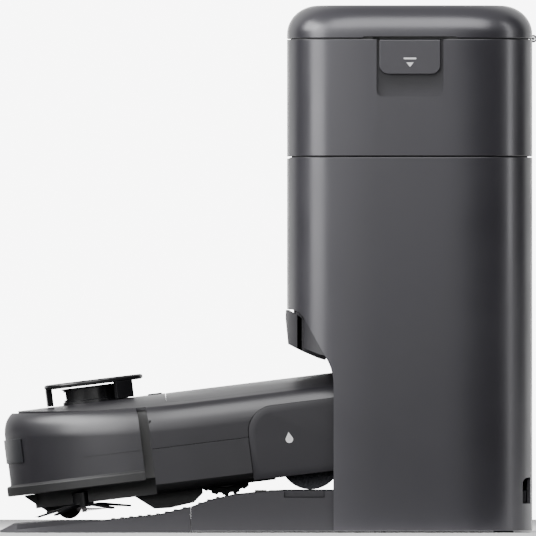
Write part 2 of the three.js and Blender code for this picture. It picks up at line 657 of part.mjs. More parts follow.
const footStrip = (x) => box(x, x + FOOT.width, -FOOT.halfLength, FOOT.halfLength, 0, FOOT.height);

// ---- Robot body ---------------------------------------------------------------------------------

/** Plan outline of the robot, round in front and square behind, pulled in by inset. */
function robotOutline(inset) {
  const radius = ROBOT.radius - inset;
  const corner = ROBOT.rearCorner - inset;
  const cornerX = ROBOT.rearReach - ROBOT.rearCorner;
  const cornerY = ROBOT.radius - ROBOT.rearCorner;
  return [
    ...arc(0, 0, radius, Math.PI / 2, 1.5 * Math.PI, 24),
    ...arc(cornerX, -cornerY, corner, 1.5 * Math.PI, 2 * Math.PI, 5),
    ...arc(cornerX, cornerY, corner, 0, Math.PI / 2, 5),
  ];
}

/** Everything below the crowned deck, lowered by drop. */
function underDeck(drop) {
  const steps = 14;
  const half = ROBOT.radius + BUMPER.lip + 10;
  const points = [[-half, -FAR], [half, -FAR]];
  for (let i = 0; i <= steps; i++) {
    const y = half - (2 * half * i) / steps;
    points.push([y, ROBOT.deck - drop - ROBOT.crownDrop * (y / ROBOT.crownReach) ** 2]);
  }
  return prismX(points, -FAR, FAR);
}

/** The robot's outer form above z0, with its wall's thickness taken off. */
const robotForm = (z0, thickness) =>
  domed(robotOutline(thickness), z0, ROBOT.deck - thickness, ROBOT.shoulderWidth, ROBOT.shoulderDrop, 4)
    .intersect(underDeck(thickness));

/** A round disc of the robot's plan, seen from above. */
const disc = (radius, z0, z1, x = 0) => postZ(x, 0, radius, z0, z1, 72);

const ahead = (x) => box(-FAR, x, -FAR, FAR, -FAR, FAR);
const FRONT_DECK_RADIUS = ROBOT.radius - BUMPER.ringWidth - 0.7;
const TURRET_X = -(ROBOT.radius - TURRET.toEdge);
const COVER_REAR = ROBOT.rearReach - COVER.rearMargin;

/** Plan outline of the top cover, grown by extra. */
const coverPlan = (extra) =>
  roundedRectangle(
    COVER.front - extra, COVER_REAR + extra, -COVER.halfWidth - extra, COVER.halfWidth + extra,
    COVER.corner + extra,
  );

/** Room for the two mop covers on the robot's sides. */
const mopCoverRoom = () =>
  twoBoxes(
    MOP_COVER.front - GAP, MOP_COVER.rear + GAP, MOP_COVER.inner - GAP, FAR, -FAR, MOP_COVER.top + GAP,
  );

function upperShell() {
  const bottom = ROBOT.seam + 0.1;
  const outer = robotForm(bottom, 0);
  const inner = robotForm(bottom - 1, ROBOT.wall);
  const lost = ahead(-ROBOT.sideFront).subtract(disc(FRONT_DECK_RADIUS, -FAR, FAR));
  const bulkhead = outer
    .intersect(box(-ROBOT.sideFront, ROBOT.wall - ROBOT.sideFront, -FAR, FAR, 0, FAR))
    .subtract(disc(FRONT_DECK_RADIUS, -FAR, FAR));
  const ledge = prismZ(coverPlan(4), 0, 200)
    .subtract(prismZ(coverPlan(-COVER.ledge), -1, 201))
    .intersect(underDeck(1))
    .subtract(underDeck(COVER.thickness + 3));
  const recess = prismZ(coverPlan(GAP), 0, 200).subtract(underDeck(COVER.thickness + GAP));
  const opening = prismZ(coverPlan(-COVER.ledge), ROBOT.seam, 200);
  let shell = outer.subtract(inner).add(ledge).subtract(recess).subtract(opening).subtract(lost).add(bulkhead);
  shell = shell.subtract(postZ(TURRET_X, 0, DRUM.radius + DRUM.room, ROBOT.seam, 200));
  for (const y of [-BUTTON.y, BUTTON.y]) {
    shell = shell.subtract(postZ(BUTTON.x, y, BUTTON.radius + GAP, ROBOT.seam, 200, 24));
  }
  const room = WHEEL.radius + 1;
  for (const inner of [WHEEL.inner - 2, -WHEEL.inner - WHEEL.width - 2]) {
    shell = shell.subtract(rodY(WHEEL.x, WHEEL_Z, room, inner, inner + WHEEL.width + 4, 48));
  }
  return shell.subtract(mopCoverRoom());
}

function bumper() {
  const outer = robotForm(BUMPER.bottom, 0);
  const lip = prismZ(robotOutline(-BUMPER.lip), BUMPER.bottom, BUMPER.bottom + BUMPER.lipHeight);
  const inner = robotForm(BUMPER.bottom - 1, BUMPER.wall);
  const deckRoom = disc(FRONT_DECK_RADIUS + 0.9, ROBOT.seam, 200, -BUMPER.travel - 0.2);
  return outer.add(lip).subtract(inner).subtract(deckRoom).intersect(ahead(-ROBOT.sideFront - BUMPER.sideGap));
}

/** The rubber skirt behind the bumper, seen in the gap at its ends. */
const bumperBacking = () =>
  disc(BACKING.radius, BACKING.bottom, ROBOT.deck)
    .subtract(disc(BACKING.radius - BACKING.wall, 0, 200))
    .intersect(ahead(ROBOT.wall - ROBOT.sideFront))
    .intersect(underDeck(ROBOT.wall + GAP));

/** The curved sensor window on the bumper's nose. */
function sensorWindow() {
  const from = Math.PI - LENS.spread;
  const to = Math.PI + LENS.spread;
  const near = ROBOT.radius + GAP;
  const outline = [...arc(0, 0, near + LENS.thickness, from, to, 12), ...arc(0, 0, near, to, from, 12)];
  return prismZ(outline, LENS.bottom, LENS.top);
}

/** The laser turret's cap: a disc on four curved posts. */
function turretCap() {
  const { radius, capBottom, capTop, postWidth, postSpread } = TURRET;
  let cap = postZ(TURRET_X, 0, radius, capBottom, capTop, 48);
  for (const bearing of [0, 0.32, 1, 1.68].map((share) => share * Math.PI)) {
    const from = bearing - postSpread;
    const to = bearing + postSpread;
    const post = [
      ...arc(TURRET_X, 0, radius - 0.6, from, to, 5),
      ...arc(TURRET_X, 0, radius - 0.6 - postWidth, to, from, 5),
    ];
    cap = cap.add(prismZ(post, ROBOT.deck + GAP, capBottom + 1));
  }
  return cap;
}

function lidarDrum() {
  const { radius, bottom, top, stemRadius, stemBottom } = DRUM;
  const profile = [[0, stemBottom], [stemRadius, stemBottom], [stemRadius, bottom], [radius, bottom],
    [radius, top], [0, top]];
  const drum = new THREE.LatheGeometry(vectors(profile), 32).rotateX(Math.PI / 2).translate(TURRET_X, 0, 0);
  return solid(drum).subtract(box(TURRET_X - 40, TURRET_X - 16, -9, 9, ROBOT.deck + 5, top - 2));
}

const pushButton = (y) =>
  postZ(BUTTON.x, y, BUTTON.radius, ROBOT.deck - BUTTON.depth, ROBOT.deck + BUTTON.proud, 24);

function topCover() {
  const slabOfDeck = underDeck(0).subtract(underDeck(COVER.thickness));
  return prismZ(coverPlan(0), 0, 200)
    .intersect(slabOfDeck)
    .subtract(postZ(COVER.front - 4, 0, COVER.notch, 0, 200, 24));
}

/** A box of the robot's insides, given as a part of this file's named values. */
const block = ({ front, length, halfWidth, bottom, height }) =>
  box(front, front + length, -halfWidth, halfWidth, bottom, bottom + height);

function dustBox() {
  const { front, length, halfWidth, bottom, height, wall } = DUST_BOX;
  const room = box(
    front + wall, front + length - wall, wall - halfWidth, halfWidth - wall, bottom + wall, bottom + height + 1,
  );
  return block(DUST_BOX).subtract(room);
}

const mainBoard = () => block({ ...BOARD, height: BOARD.thickness });

const fanMotor = () =>
  postZ(FAN.x, 0, FAN.radius, FAN.bottom, FAN.bottom + FAN.height, 28).subtract(
    postZ(FAN.x, 0, FAN.radius - 8, FAN.bottom + FAN.height - 5, 200, 28),
  );

// ---- Robot chassis and running gear -------------------------------------------------------------

/** Height of the slope's surface, ribs included, under the parked robot. */
const slopeHeight = (x) => heightOn(x < BASE_X ? RAMP_LINE : BASE_LINE, x) + RIB.height;

/** Height in the robot's frame at which a wheel at x clears the slope by the gap. */
function wheelHeight(x, radius) {
  let z = radius;
  for (let pass = 0; pass < 6; pass++) {
    const centre = docked(x, z);
    let needed = 0;
    for (let step = -20; step <= 20; step++) {
      const along = (step / 20) * radius;
      const reach = Math.sqrt((radius + GAP) ** 2 - along ** 2);
      needed = Math.max(needed, slopeHeight(centre.x + along) + reach);
    }
    z += (needed - centre.z) / cosPitch;
  }
  return z;
}

const WHEEL_Z = wheelHeight(WHEEL.x, WHEEL.radius);
const CASTER_X = -(ROBOT.radius - CASTER.toEdge);
const SWIVEL_X = CASTER_X - CASTER.trail;
const SWEEPER_X = -(ROBOT.radius - SWEEPER.toEdge) * Math.cos(SWEEPER.bearing);
const SWEEPER_Y = -(ROBOT.radius - SWEEPER.toEdge) * Math.sin(SWEEPER.bearing);
const ARM_OUTER = WHEEL.inner - ARM.toWheel;

/** The chassis's outer form below the seam, or its inside when thickness is taken off. */
function tub(thickness) {
  const { bellyInset, skirt, belly, seam } = ROBOT;
  const floor = belly + (thickness ? 3 : 0);
  const height = seam - 0.2 - floor + (thickness ? 9 : 0);
  const dish = new THREE.ExtrudeGeometry(new THREE.Shape(robotOutline(thickness)), {
    depth: height - (skirt - belly),
    bevelThickness: skirt - belly,
    bevelSize: bellyInset,
    bevelOffset: -bellyInset,
    bevelSegments: 2,
  });
  return solid(dish.translate(0, 0, floor + skirt - belly)).intersect(
    box(-FAR, FAR, -FAR, FAR, floor, floor + height),
  );
}

/** The block under the nose that holds the caster. */
function noseBlock() {
  const edge = -ROBOT.radius - BUMPER.lip;
  const profile = [
    [edge + 66, 24], [edge + 14.2, 24], [edge + 14.2, 22.7], [edge + 33.4, NOSE.bottom],
    [edge + 62, NOSE.bottom], [edge + 66, 12],
  ];
  return prismY(profile, -NOSE.halfWidth, NOSE.halfWidth);
}

function chassis() {
  const frontRadius = BACKING.radius - BACKING.wall - 0.3;
  const lost = ahead(-ROBOT.sideFront).subtract(disc(frontRadius, -FAR, FAR));
  const frontWall = disc(frontRadius, ROBOT.belly + 1, ROBOT.seam - 0.2)
    .subtract(disc(frontRadius - ROBOT.wall, 0, 200))
    .intersect(ahead(-ROBOT.sideFront));
  let body = tub(0).subtract(tub(ROBOT.wall)).subtract(lost).add(frontWall).add(noseBlock());
  const rail = MOP_COVER.inner - 2 * GAP;
  body = body.subtract(mopCoverRoom()).add(
    twoBoxes(MOP_COVER.front - 3, MOP_COVER.rear + 3, rail - 3, rail, ROBOT.belly + 4, ROBOT.seam - 0.2),
  );
  const gearbox = postZ(SWEEPER_X, SWEEPER_Y, SWEEPER.hub + 4, SWEEPER.top, SWEEPER.top + 8, 24).intersect(
    disc(frontRadius, 0, 200),
  );
  const sweeperRoom = postZ(SWEEPER_X, SWEEPER_Y, SWEEPER.hub + 1, 0, SWEEPER.top + GAP, 24);
  const pivotBlocks = twoBoxes(
    ARM.pivotX - 6, ARM.pivotX + 6, WHEEL.inner - 0.6, WHEEL.inner + 12, ROBOT.belly + 1, ARM.pivotZ + 7,
  );
  const pivotPins = rodY(ARM.pivotX, ARM.pivotZ, ARM.pin, ARM_OUTER - ARM.thickness - 0.4, WHEEL.inner + 1, 16);
  const otherPins = rodY(ARM.pivotX, ARM.pivotZ, ARM.pin, -WHEEL.inner - 1, ARM.thickness + 0.4 - ARM_OUTER, 16);
  const wheelRoom = WHEEL.radius + 4;
  const wells = twoBoxes(
    WHEEL.x - WHEEL.radius - 2, WHEEL.x + wheelRoom, WHEEL.inner - 7, WHEEL.inner + WHEEL.width + 4, 0,
    ROBOT.belly + 12,
  );
  const armSlot = twoBoxes(
    ARM.pivotX - 8, WHEEL.x, ARM_OUTER - ARM.thickness - 1, ARM_OUTER + 0.4, 0, ROBOT.belly + 8,
  );
  const brushWell = box(
    GUARD.front - GAP, GUARD.rear + GAP, -GUARD.halfLength - GAP, GUARD.halfLength + GAP, -FAR, GUARD.top + 2,
  );
  const rollerWell = box(
    MOP.x - CARRIAGE.halfLength - 1, MOP.x + CARRIAGE.halfLength + 1, -CARRIAGE.halfWidth - 1,
    CARRIAGE.halfWidth + 1, 0, ROBOT.belly + 6,
  );
  const socket = postZ(SWIVEL_X, 0, CASTER.cupRadius + GAP, 0, CASTER.cupTop + GAP, 32);
  return body.add(gearbox).subtract(sweeperRoom).subtract(wells).subtract(armSlot).add(pivotBlocks)
    .add(pivotPins).add(otherPins).subtract(brushWell).subtract(rollerWell).subtract(socket);
}

/** The swinging arm that carries a drive wheel's axle. */
function wheelArm(side) {
  const y = (near, far) => (side < 0 ? [-far, -near] : [near, far]);
  const inner = ARM_OUTER - ARM.thickness;
  const [y0, y1] = y(inner, ARM_OUTER);
  const rise = Math.atan2(WHEEL_Z - ARM.pivotZ, WHEEL.x - ARM.pivotX);
  const quarter = Math.PI / 2;
  const outline = [
    ...arc(ARM.pivotX, ARM.pivotZ, ARM.halfHeight, rise + quarter, rise + 3 * quarter, 8),
    ...arc(WHEEL.x, WHEEL_Z, ARM.halfHeight + 4, rise - quarter, rise + quarter, 10),
  ].map((p) => [p.x, p.y]);
  const [a0, a1] = y(inner + 1, WHEEL.inner + WHEEL.width - 6);
  const axle = rodY(WHEEL.x, WHEEL_Z, WHEEL.axle, a0, a1, 20);
  const eye = rodY(ARM.pivotX, ARM.pivotZ, ARM.pin + 0.3, -FAR, FAR, 16);
  return prismY(outline, y0, y1).add(axle).subtract(eye);
}

/** A tyre with tread bars round it. */
function tyre(side) {
  const [y0, y1] = side < 0 ? [-WHEEL.inner - WHEEL.width, -WHEEL.inner] : [WHEEL.inner, WHEEL.inner + WHEEL.width];
  const teeth = 22;
  const points = [];
  for (let i = 0; i < teeth; i++) {
    for (const [share, radius] of [[0, WHEEL.radius], [0.55, WHEEL.radius], [0.6, WHEEL.radius - 1.6],
      [0.95, WHEEL.radius - 1.6]]) {
      const angle = ((i + share) / teeth) * 2 * Math.PI;
      points.push([WHEEL.x + radius * Math.cos(angle), WHEEL_Z + radius * Math.sin(angle)]);
    }
  }
  return prismY(points, y0, y1).subtract(rodY(WHEEL.x, WHEEL_Z, WHEEL.rimRadius, y0 - 1, y1 + 1, 36));
}

function wheelHub(side) {
  const [y0, y1] = side < 0
    ? [-WHEEL.inner - WHEEL.width + 1, -WHEEL.inner - 1]
    : [WHEEL.inner + 1, WHEEL.inner + WHEEL.width - 1];
  const face = side < 0 ? y0 : y1;
  const dish = rodY(WHEEL.x, WHEEL_Z, WHEEL.rimRadius - 6, face - 3, face + 3, 28).subtract(
    rodY(WHEEL.x, WHEEL_Z, 9, y0 - 1, y1 + 1, 20),
  );
  const bore = side < 0 ? [y0 + 4, y1 + 1] : [y0 - 1, y1 - 4];
  return rodY(WHEEL.x, WHEEL_Z, WHEEL.rimRadius - 0.3, y0, y1, 36)
    .subtract(dish)
    .subtract(rodY(WHEEL.x, WHEEL_Z, WHEEL.axle + 0.3, ...bore, 20));
}

/** The caster's turning cup, with a slot and an axle for the small wheel. */
function casterFork() {
  const { cupRadius, wheelRadius, wheelWidth, cupTop } = CASTER;
  const cup = postZ(SWIVEL_X, 0, cupRadius, NOSE.bottom, cupTop, 32);
  const half = wheelWidth / 2 + 0.6;
  const slot = box(
    CASTER_X - wheelRadius - 1, CASTER_X + wheelRadius + 1, -half, half, 0, 2 * wheelRadius + 0.9,
  );
  return cup.subtract(slot).add(rodY(CASTER_X, wheelRadius, 1.5, -half - 1, half + 1, 12));
}

const casterWheel = () =>
  rodY(CASTER_X, CASTER.wheelRadius, CASTER.wheelRadius, -CASTER.wheelWidth / 2, CASTER.wheelWidth / 2, 28)
    .subtract(rodY(CASTER_X, CASTER.wheelRadius, 1.8, -FAR, FAR, 12));

/** The main roller brush: a core with straight rubber vanes. */
function mainBrush() {
  let brush = rodY(BRUSH.x, BRUSH.z, BRUSH.core, -BRUSH.halfLength, BRUSH.halfLength, 24);
  for (let i = 0; i < BRUSH.vanes; i++) {
    const vane = new THREE.BoxGeometry(BRUSH.radius, 2 * BRUSH.halfLength - 4, BRUSH.vane)
      .translate(BRUSH.radius / 2, 0, 0)
      .rotateY((i / BRUSH.vanes) * 2 * Math.PI + 0.2)
      .translate(BRUSH.x, 0, BRUSH.z);
    brush = brush.add(solid(vane));
  }
  return brush;
}

/** The frame that holds the main brush in, open over the brush. */
function brushGuard() {
  const { front, rear, top, halfLength, margin } = GUARD;
  const profile = [[front, 12], [front + 15, 0], [front + 28, -1], [rear - 8.4, 1.2], [rear, 8], [rear, top],
    [front, top]].reverse();
  const reach = BRUSH.radius + margin;
  const inside = BRUSH.halfLength + margin;
  return prismY(profile, -halfLength, halfLength).subtract(
    box(BRUSH.x - reach, BRUSH.x + reach, -inside, inside, -FAR, FAR),
  );
}

/** The side brush: a hub with thin arms that droop to the floor. */
function sideBrush() {
  const { hub, bottom, top, arms, reach, droop } = SWEEPER;
  let brush = postZ(0, 0, hub, bottom, top, 24);
  const profile = [[hub - 2, bottom + 0.4], [hub + 6, bottom], [reach, bottom - droop],
    [reach, bottom - droop + 1.6], [hub + 6, bottom + 2.4], [hub - 2, bottom + 2.4]];
  for (let i = 0; i < arms; i++) {
    const arm = flat(vectors(profile), 4).rotateX(Math.PI / 2).translate(0, 2, 0);
    brush = brush.add(solid(arm.rotateZ(((i + 0.25) / arms) * 2 * Math.PI)));
  }
  return brush;
}

// ---- Robot mop ----------------------------------------------------------------------------------

/** The lifting frame over the mop roller: a roof, two cheeks and the roller's bearings. */
function mopCarriage() {
  const { halfLength, halfWidth, bottom, top, wall } = CARRIAGE;
  const frame = box(MOP.x - halfLength, MOP.x + halfLength, -halfWidth, halfWidth, bottom, top);
  const inside = halfWidth - wall;
  const room = box(MOP.x - halfLength - 1, MOP.x + halfLength + 1, -inside, inside, 0, top - wall);
  return frame.subtract(room).subtract(rodY(MOP.x, MOP.z, MOP.stub + GAP, -FAR, FAR, 16));
}

const mopRoller = () =>
  rodY(MOP.x, MOP.z, MOP.radius, -MOP.halfLength, MOP.halfLength, 40).add(
    rodY(MOP.x, MOP.z, MOP.stub, 1 - CARRIAGE.halfWidth, CARRIAGE.halfWidth - 1, 16),
  );

/** The panel over one end of the mop, with a big round corner at its top front. */
function mopCover(side) {
  const { front, rear, bottom, top, inner, outer, corner } = MOP_COVER;
  const outline = [
    [front, bottom],
    ...arc(front + corner, top - corner, corner, Math.PI, Math.PI / 2, 6).map((p) => [p.x, p.y]),
    [rear, top],
    [rear, bottom],
  ].reverse();
  return side < 0 ? prismY(outline, -outer, -inner) : prismY(outline, inner, outer);
}

// ---- Assembly -----------------------------------------------------------------------------------

const LEFT = -1;
const RIGHT = 1;

function makeDock() {
  const dock = new THREE.Group();
  for (const [side, name] of [[LEFT, "left"], [RIGHT, "right"]]) {
    dock.add(mesh(`${name}_side_panel`, sidePanel(side), SHELL_GREY));
    dock.add(mesh(`charge_contact_${name}`, chargeContact(side), GOLD));
  }
  for (const [side, name] of [[LEFT, "clean_tank"], [RIGHT, "dirty_tank"]]) {
    dock.add(mesh(`${name}_shell`, tankShell(side), SHELL_GREY));
    dock.add(mesh(`${name}_top`, tankTop(side), DARK_GREY));
    dock.add(mesh(`${name}_latch`, tankLatch(side), SHELL_GREY));
  }
  dock.add(
    mesh("rear_cover", rearCover(), SHELL_GREY),
    mesh("front_door", frontDoor(), SHELL_GREY),
    mesh("bay_hood", bayHood(), DARK_GREY),
    mesh("bay_back_wall", bayBackWall(), DARK_GREY),
    mesh("tier_deck", tierDeck(), DARK_GREY),
    mesh("centre_column", centreColumn(), SHELL_GREY),
    mesh("top_lid", topLid(), SHELL_GREY),
    mesh("lid_hinge_pin", lidHingePin(), STEEL),
    mesh("bag_chamber", bagChamber(), DARK_GREY),
    mesh("dust_bag", dustBag(), BAG_PAPER),
    mesh("bag_collar", bagCollar(), WHITE_PLASTIC),
    mesh("suction_motor", suctionMotor(), BLACK),
    mesh("water_pump", waterPump(), BLACK),
    mesh("power_board", powerBoard(), BOARD_GREEN),
    mesh("inlet_socket", inletSocket(), BLACK),
    mesh("ramp_toe", rampToe(), BASE_GREY),
    mesh("base_plate", basePlate(), BASE_GREY),
    mesh("washing_tray", washingTray(), DARK_GREY),
    mesh("wiper_strip", wiperStrip(), RUBBER),
    mesh("front_foot_strip", footStrip(FRONT_FOOT_X), RUBBER),
    mesh("rear_foot_strip", footStrip(REAR_FOOT_X), RUBBER),
  );
  return dock;
}

function makeRobot() {
  const robot = new THREE.Group();
  robot.position.set(ROBOT_ORIGIN.x, 0, ROBOT_ORIGIN.z);
  robot.rotation.y = -DOCKED.pitch;
  robot.add(
    mesh("chassis", chassis(), DARK_GREY),
    mesh("upper_shell", upperShell(), SHELL_GREY),
    mesh("bumper", bumper(), SHELL_GREY),
    mesh("bumper_backing", bumperBacking(), RUBBER),
    mesh("sensor_window", sensorWindow(), CLEAR_GREY),
    mesh("turret_cap", turretCap(), BLACK),
    mesh("lidar_drum", lidarDrum(), BLACK),
    mesh("power_button", pushButton(-BUTTON.y), SHELL_GREY),
    mesh("home_button", pushButton(BUTTON.y), SHELL_GREY),
    mesh("top_cover", topCover(), SHELL_GREY),
    mesh("dust_box", dustBox(), CLEAR_GREY),
    mesh("battery", block(BATTERY), BLACK),
    mesh("fan_motor", fanMotor(), BLACK),
    mesh("main_board", mainBoard(), BOARD_GREEN),
    mesh("caster_fork", casterFork(), BLACK),
    mesh("caster_wheel", casterWheel(), RUBBER),
    mesh("main_brush", mainBrush(), RUBBER),
    mesh("brush_guard", brushGuard(), BLACK),
    mesh("mop_carriage", mopCarriage(), DARK_GREY),
    mesh("mop_roller", mopRoller(), FLEECE),
  );
  const sweeper = mesh("side_brush", sideBrush(), BRISTLE);
  sweeper.position.set(SWEEPER_X, SWEEPER_Y, 0);
  robot.add(sweeper);
  for (const [side, name] of [[LEFT, "left"], [RIGHT, "right"]]) {
    robot.add(mesh(`${name}_wheel_arm`, wheelArm(side), DARK_GREY));
    robot.add(mesh(`${name}_tyre`, tyre(side), RUBBER));
    robot.add(mesh(`${name}_wheel_hub`, wheelHub(side), BLACK));
    robot.add(mesh(`mop_cover_${name}`, mopCover(side), DARK_GREY));
  }
  return robot;
}

const cleaner = new THREE.Group();
cleaner.position.x = -TOTAL_LENGTH / 2;
cleaner.add(makeDock(), makeRobot());

export default cleaner;
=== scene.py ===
"""The looks of a robot vacuum parked in its self-emptying, mop-washing dock.

Sizes are millimetres in the row frame until a mesh is finished, when it is scaled to metres. The robot's own
pieces are drawn level, with the origin on the ground under the centre of its round front, and are then tipped
up the ramp by the matrix of its parked place.
"""

import json
import logging
import math
from collections.abc import Callable, Iterable, Sequence
from dataclasses import dataclass
from enum import Enum

import bmesh
import bpy
from mathutils import Matrix, Vector, noise


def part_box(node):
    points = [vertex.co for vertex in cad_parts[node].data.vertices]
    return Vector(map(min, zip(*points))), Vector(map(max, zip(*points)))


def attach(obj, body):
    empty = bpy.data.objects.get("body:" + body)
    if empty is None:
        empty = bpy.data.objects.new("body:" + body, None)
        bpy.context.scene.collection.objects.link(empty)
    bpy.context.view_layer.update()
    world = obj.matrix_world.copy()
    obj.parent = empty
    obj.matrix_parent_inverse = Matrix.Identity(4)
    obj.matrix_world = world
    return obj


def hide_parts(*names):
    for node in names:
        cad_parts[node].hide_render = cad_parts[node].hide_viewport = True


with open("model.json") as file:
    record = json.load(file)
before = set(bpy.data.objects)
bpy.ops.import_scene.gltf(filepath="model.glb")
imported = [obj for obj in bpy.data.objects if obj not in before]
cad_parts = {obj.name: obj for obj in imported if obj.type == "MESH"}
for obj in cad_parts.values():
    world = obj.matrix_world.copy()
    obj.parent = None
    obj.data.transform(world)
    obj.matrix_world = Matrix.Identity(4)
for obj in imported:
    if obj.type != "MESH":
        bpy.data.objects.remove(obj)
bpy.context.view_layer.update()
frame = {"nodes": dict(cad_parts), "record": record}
JOINTS = {joint["name"]: joint for joint in frame["record"]["behaviour"]["joints"]}

MM = 0.001
TURN = 2 * math.pi
log = logging.getLogger("dock")

Point = tuple[float, float]
Outline = Callable[[float], list[Point]]


# ---- Finishes ---------------------------------------------------------------------------------------


class Pattern(Enum):
    """How a surface was made, which sets its fine pattern."""

    GRAINED = "spark-eroded mould"
    POLISHED = "polished mould"
    ELASTIC = "pressed rubber"
    FLEECE = "looped pile"
    NONWOVEN = "bonded fibre"
    TURNED = "turned or rolled metal"


def linear(hex_colour: str) -> tuple[float, float, float, float]:
    """Turn an sRGB hex colour into the linear values that shaders take.

    Args:
        hex_colour: The colour, as "#rrggbb".

    Returns:
        Linear red, green and blue, and an alpha of one.
    """
    channels = [int(hex_colour[i : i + 2], 16) / 255 for i in (1, 3, 5)]
    bent = [c / 12.92 if c <= 0.04045 else ((c + 0.055) / 1.055) ** 2.4 for c in channels]
    return (*bent, 1.0)


def add_node(
    tree: bpy.types.NodeTree, kind: str, inputs: dict | None = None, **settings: object
) -> bpy.types.Node:
    """Add one node with its settings, values and links.

    Args:
        tree: The node tree that gets the node.
        kind: The node's type name.
        inputs: Socket name or number to a value, or to the output socket that feeds it.
        **settings: Attributes of the node itself.

    Returns:
        The new node.
    """
    node = tree.nodes.new(kind)
    for name, value in settings.items():
        setattr(node, name, value)
    for name, value in (inputs or {}).items():
        if isinstance(value, bpy.types.NodeSocket):
            tree.links.new(value, node.inputs[name])
        else:
            node.inputs[name].default_value = value
    return node


@dataclass(frozen=True)
class Finish:
    """One material: what it is, how it was made, and the shader values that follow from that."""

    name: str
    slot: str
    colour: str
    pattern: Pattern
    roughness: float
    metallic: float = 0.0
    ior: float = 1.5
    coat: float = 0.0
    sheen: float = 0.0
    grain: float = 0.8
    depth: float = 0.02
    mottle: float = 0.08

    def material(self) -> bpy.types.Material:
        """Return the material, made the first time it is asked for."""
        return bpy.data.materials.get(self.name) or self._make()

    def _make(self) -> bpy.types.Material:
        """Build the shader: a mottled colour, a roughness that wanders and a fine relief.

        Returns:
            The new material.
        """
        made = bpy.data.materials.new(self.name)
        made.use_nodes = True
        tree = made.node_tree
        shader = tree.nodes["Principled BSDF"]
        shader.inputs["Metallic"].default_value = self.metallic
        shader.inputs["Coat Weight"].default_value = self.coat
        shader.inputs["Coat Roughness"].default_value = 0.2
        shader.inputs["Sheen Weight"].default_value = self.sheen
        if not self.metallic == 1.0:
            shader.inputs["IOR"].default_value = self.ior
        place = add_node(tree, "ShaderNodeTexCoord").outputs["Object"]
        relief = self._relief(tree, place)
        drift = add_node(
            tree, "ShaderNodeTexNoise", {"Vector": place, "Scale": 1 / (70 * MM), "Detail": 3.0}
        ).outputs["Fac"]
        base = linear(self.colour)
        dark = tuple(c * (1 - self.mottle) for c in base[:3]) + (1.0,)
        light = tuple(min(1.0, c * (1 + self.mottle)) for c in base[:3]) + (1.0,)
        blend = add_node(
            tree, "ShaderNodeMath", {0: drift, 1: relief}, operation="ADD"
        ).outputs["Value"]
        share = add_node(
            tree, "ShaderNodeMapRange", {"Value": blend, "From Min": 0.6, "From Max": 1.4}
        ).outputs["Result"]
        colour = add_node(tree, "ShaderNodeMix", {0: share, 6: dark, 7: light}, data_type="RGBA")
        tree.links.new(colour.outputs[2], shader.inputs["Base Color"])
        low, high = max(0.02, self.roughness - 0.04), min(1.0, self.roughness + 0.04)
        rough = add_node(
            tree, "ShaderNodeMapRange",
            {"Value": drift, "From Min": 0.3, "From Max": 0.7, "To Min": low, "To Max": high},
        )
        tree.links.new(rough.outputs["Result"], shader.inputs["Roughness"])
        bump = add_node(
            tree, "ShaderNodeBump", {"Height": relief, "Distance": self.depth * MM, "Strength": 1.0}
        )
        tree.links.new(bump.outputs["Normal"], shader.inputs["Normal"])
        return made

    def _relief(self, tree: bpy.types.NodeTree, place: bpy.types.NodeSocket) -> bpy.types.NodeSocket:
        """Add the nodes of the fine relief that the way of making leaves.

        Args:
            tree: The material's node tree.
            place: The object coordinates, in metres.

        Returns:
            The socket that gives the relief's height, from nought to one.
        """
        scale = 1 / (self.grain * MM)
        if self.pattern is Pattern.TURNED:
            stretched = add_node(tree, "ShaderNodeMapping", {"Vector": place, "Scale": (1.0, 0.05, 1.0)})
            place = stretched.outputs["Vector"]
        if self.pattern is Pattern.FLEECE:
            loops = add_node(tree, "ShaderNodeTexVoronoi", {"Vector": place, "Scale": scale})
            return loops.outputs["Distance"]
        if self.pattern is Pattern.NONWOVEN:
            fibres = add_node(
                tree, "ShaderNodeTexNoise",
                {"Vector": place, "Scale": scale, "Detail": 6.0, "Distortion": 2.5},
            )
            return fibres.outputs["Fac"]
        pits = add_node(
            tree, "ShaderNodeTexNoise", {"Vector": place, "Scale": scale, "Detail": 4.0, "Roughness": 0.6}
        )
        return pits.outputs["Fac"]


# Moulded ABS with metal flake in it: a satin skin whose long soft reflections follow the curve.
SHELL = Finish("satin_flake_abs", "shell_grey", "#38373c", Pattern.GRAINED, 0.33, metallic=0.35, ior=1.76,
               grain=0.6, depth=0.006, mottle=0.04)
# The robot's skin: the same plastic with less flake, so it stays dark until it turns towards a light.
ROBOT_SHELL = Finish("satin_dark_abs", "shell_grey", "#232226", Pattern.GRAINED, 0.36, metallic=0.2, ior=1.7,
                     grain=0.6, depth=0.006, mottle=0.04)
# The same family of plastic with no flake, a little darker and duller: brow, bay and mop covers. Its darker
# colour is partly painted shade, for the shadow in the recessed brow and bay and on the down-facing mop
# covers.
DARK_ABS_AND_SHADE = Finish("matt_dark_abs_and_painted_shade", "dark_grey", "#232226", Pattern.GRAINED, 0.48, grain=0.7, depth=0.012)
# Undyed-carbon ABS of the underside, which hardly answers to light at all.
BELLY = Finish("black_chassis_abs", "dark_grey", "#161617", Pattern.GRAINED, 0.5, grain=0.8, depth=0.015)
# Glass-filled polypropylene, moulded with a coarse grain that gives feet and wheels their grip.
FLOOR = Finish("grained_polypropylene", "base_grey", "#2a292d", Pattern.GRAINED, 0.6, grain=1.1, depth=0.04)
# Polished ABS: mirror-like but dark, so it shows as thin bright edges.
GLOSS = Finish("polished_black_abs", "black_plastic", "#141416", Pattern.POLISHED, 0.22, coat=0.4,
               depth=0.002)
# Carbon-filled rubber, pressed: almost no shine, and a dusty bloom.
RUBBER = Finish("black_rubber", "black_rubber", "#1b1b1c", Pattern.ELASTIC, 0.78, grain=0.9, depth=0.03)
TREAD = Finish("tyre_rubber", "tyre", "#1f1f20", Pattern.ELASTIC, 0.85, grain=1.2, depth=0.05)
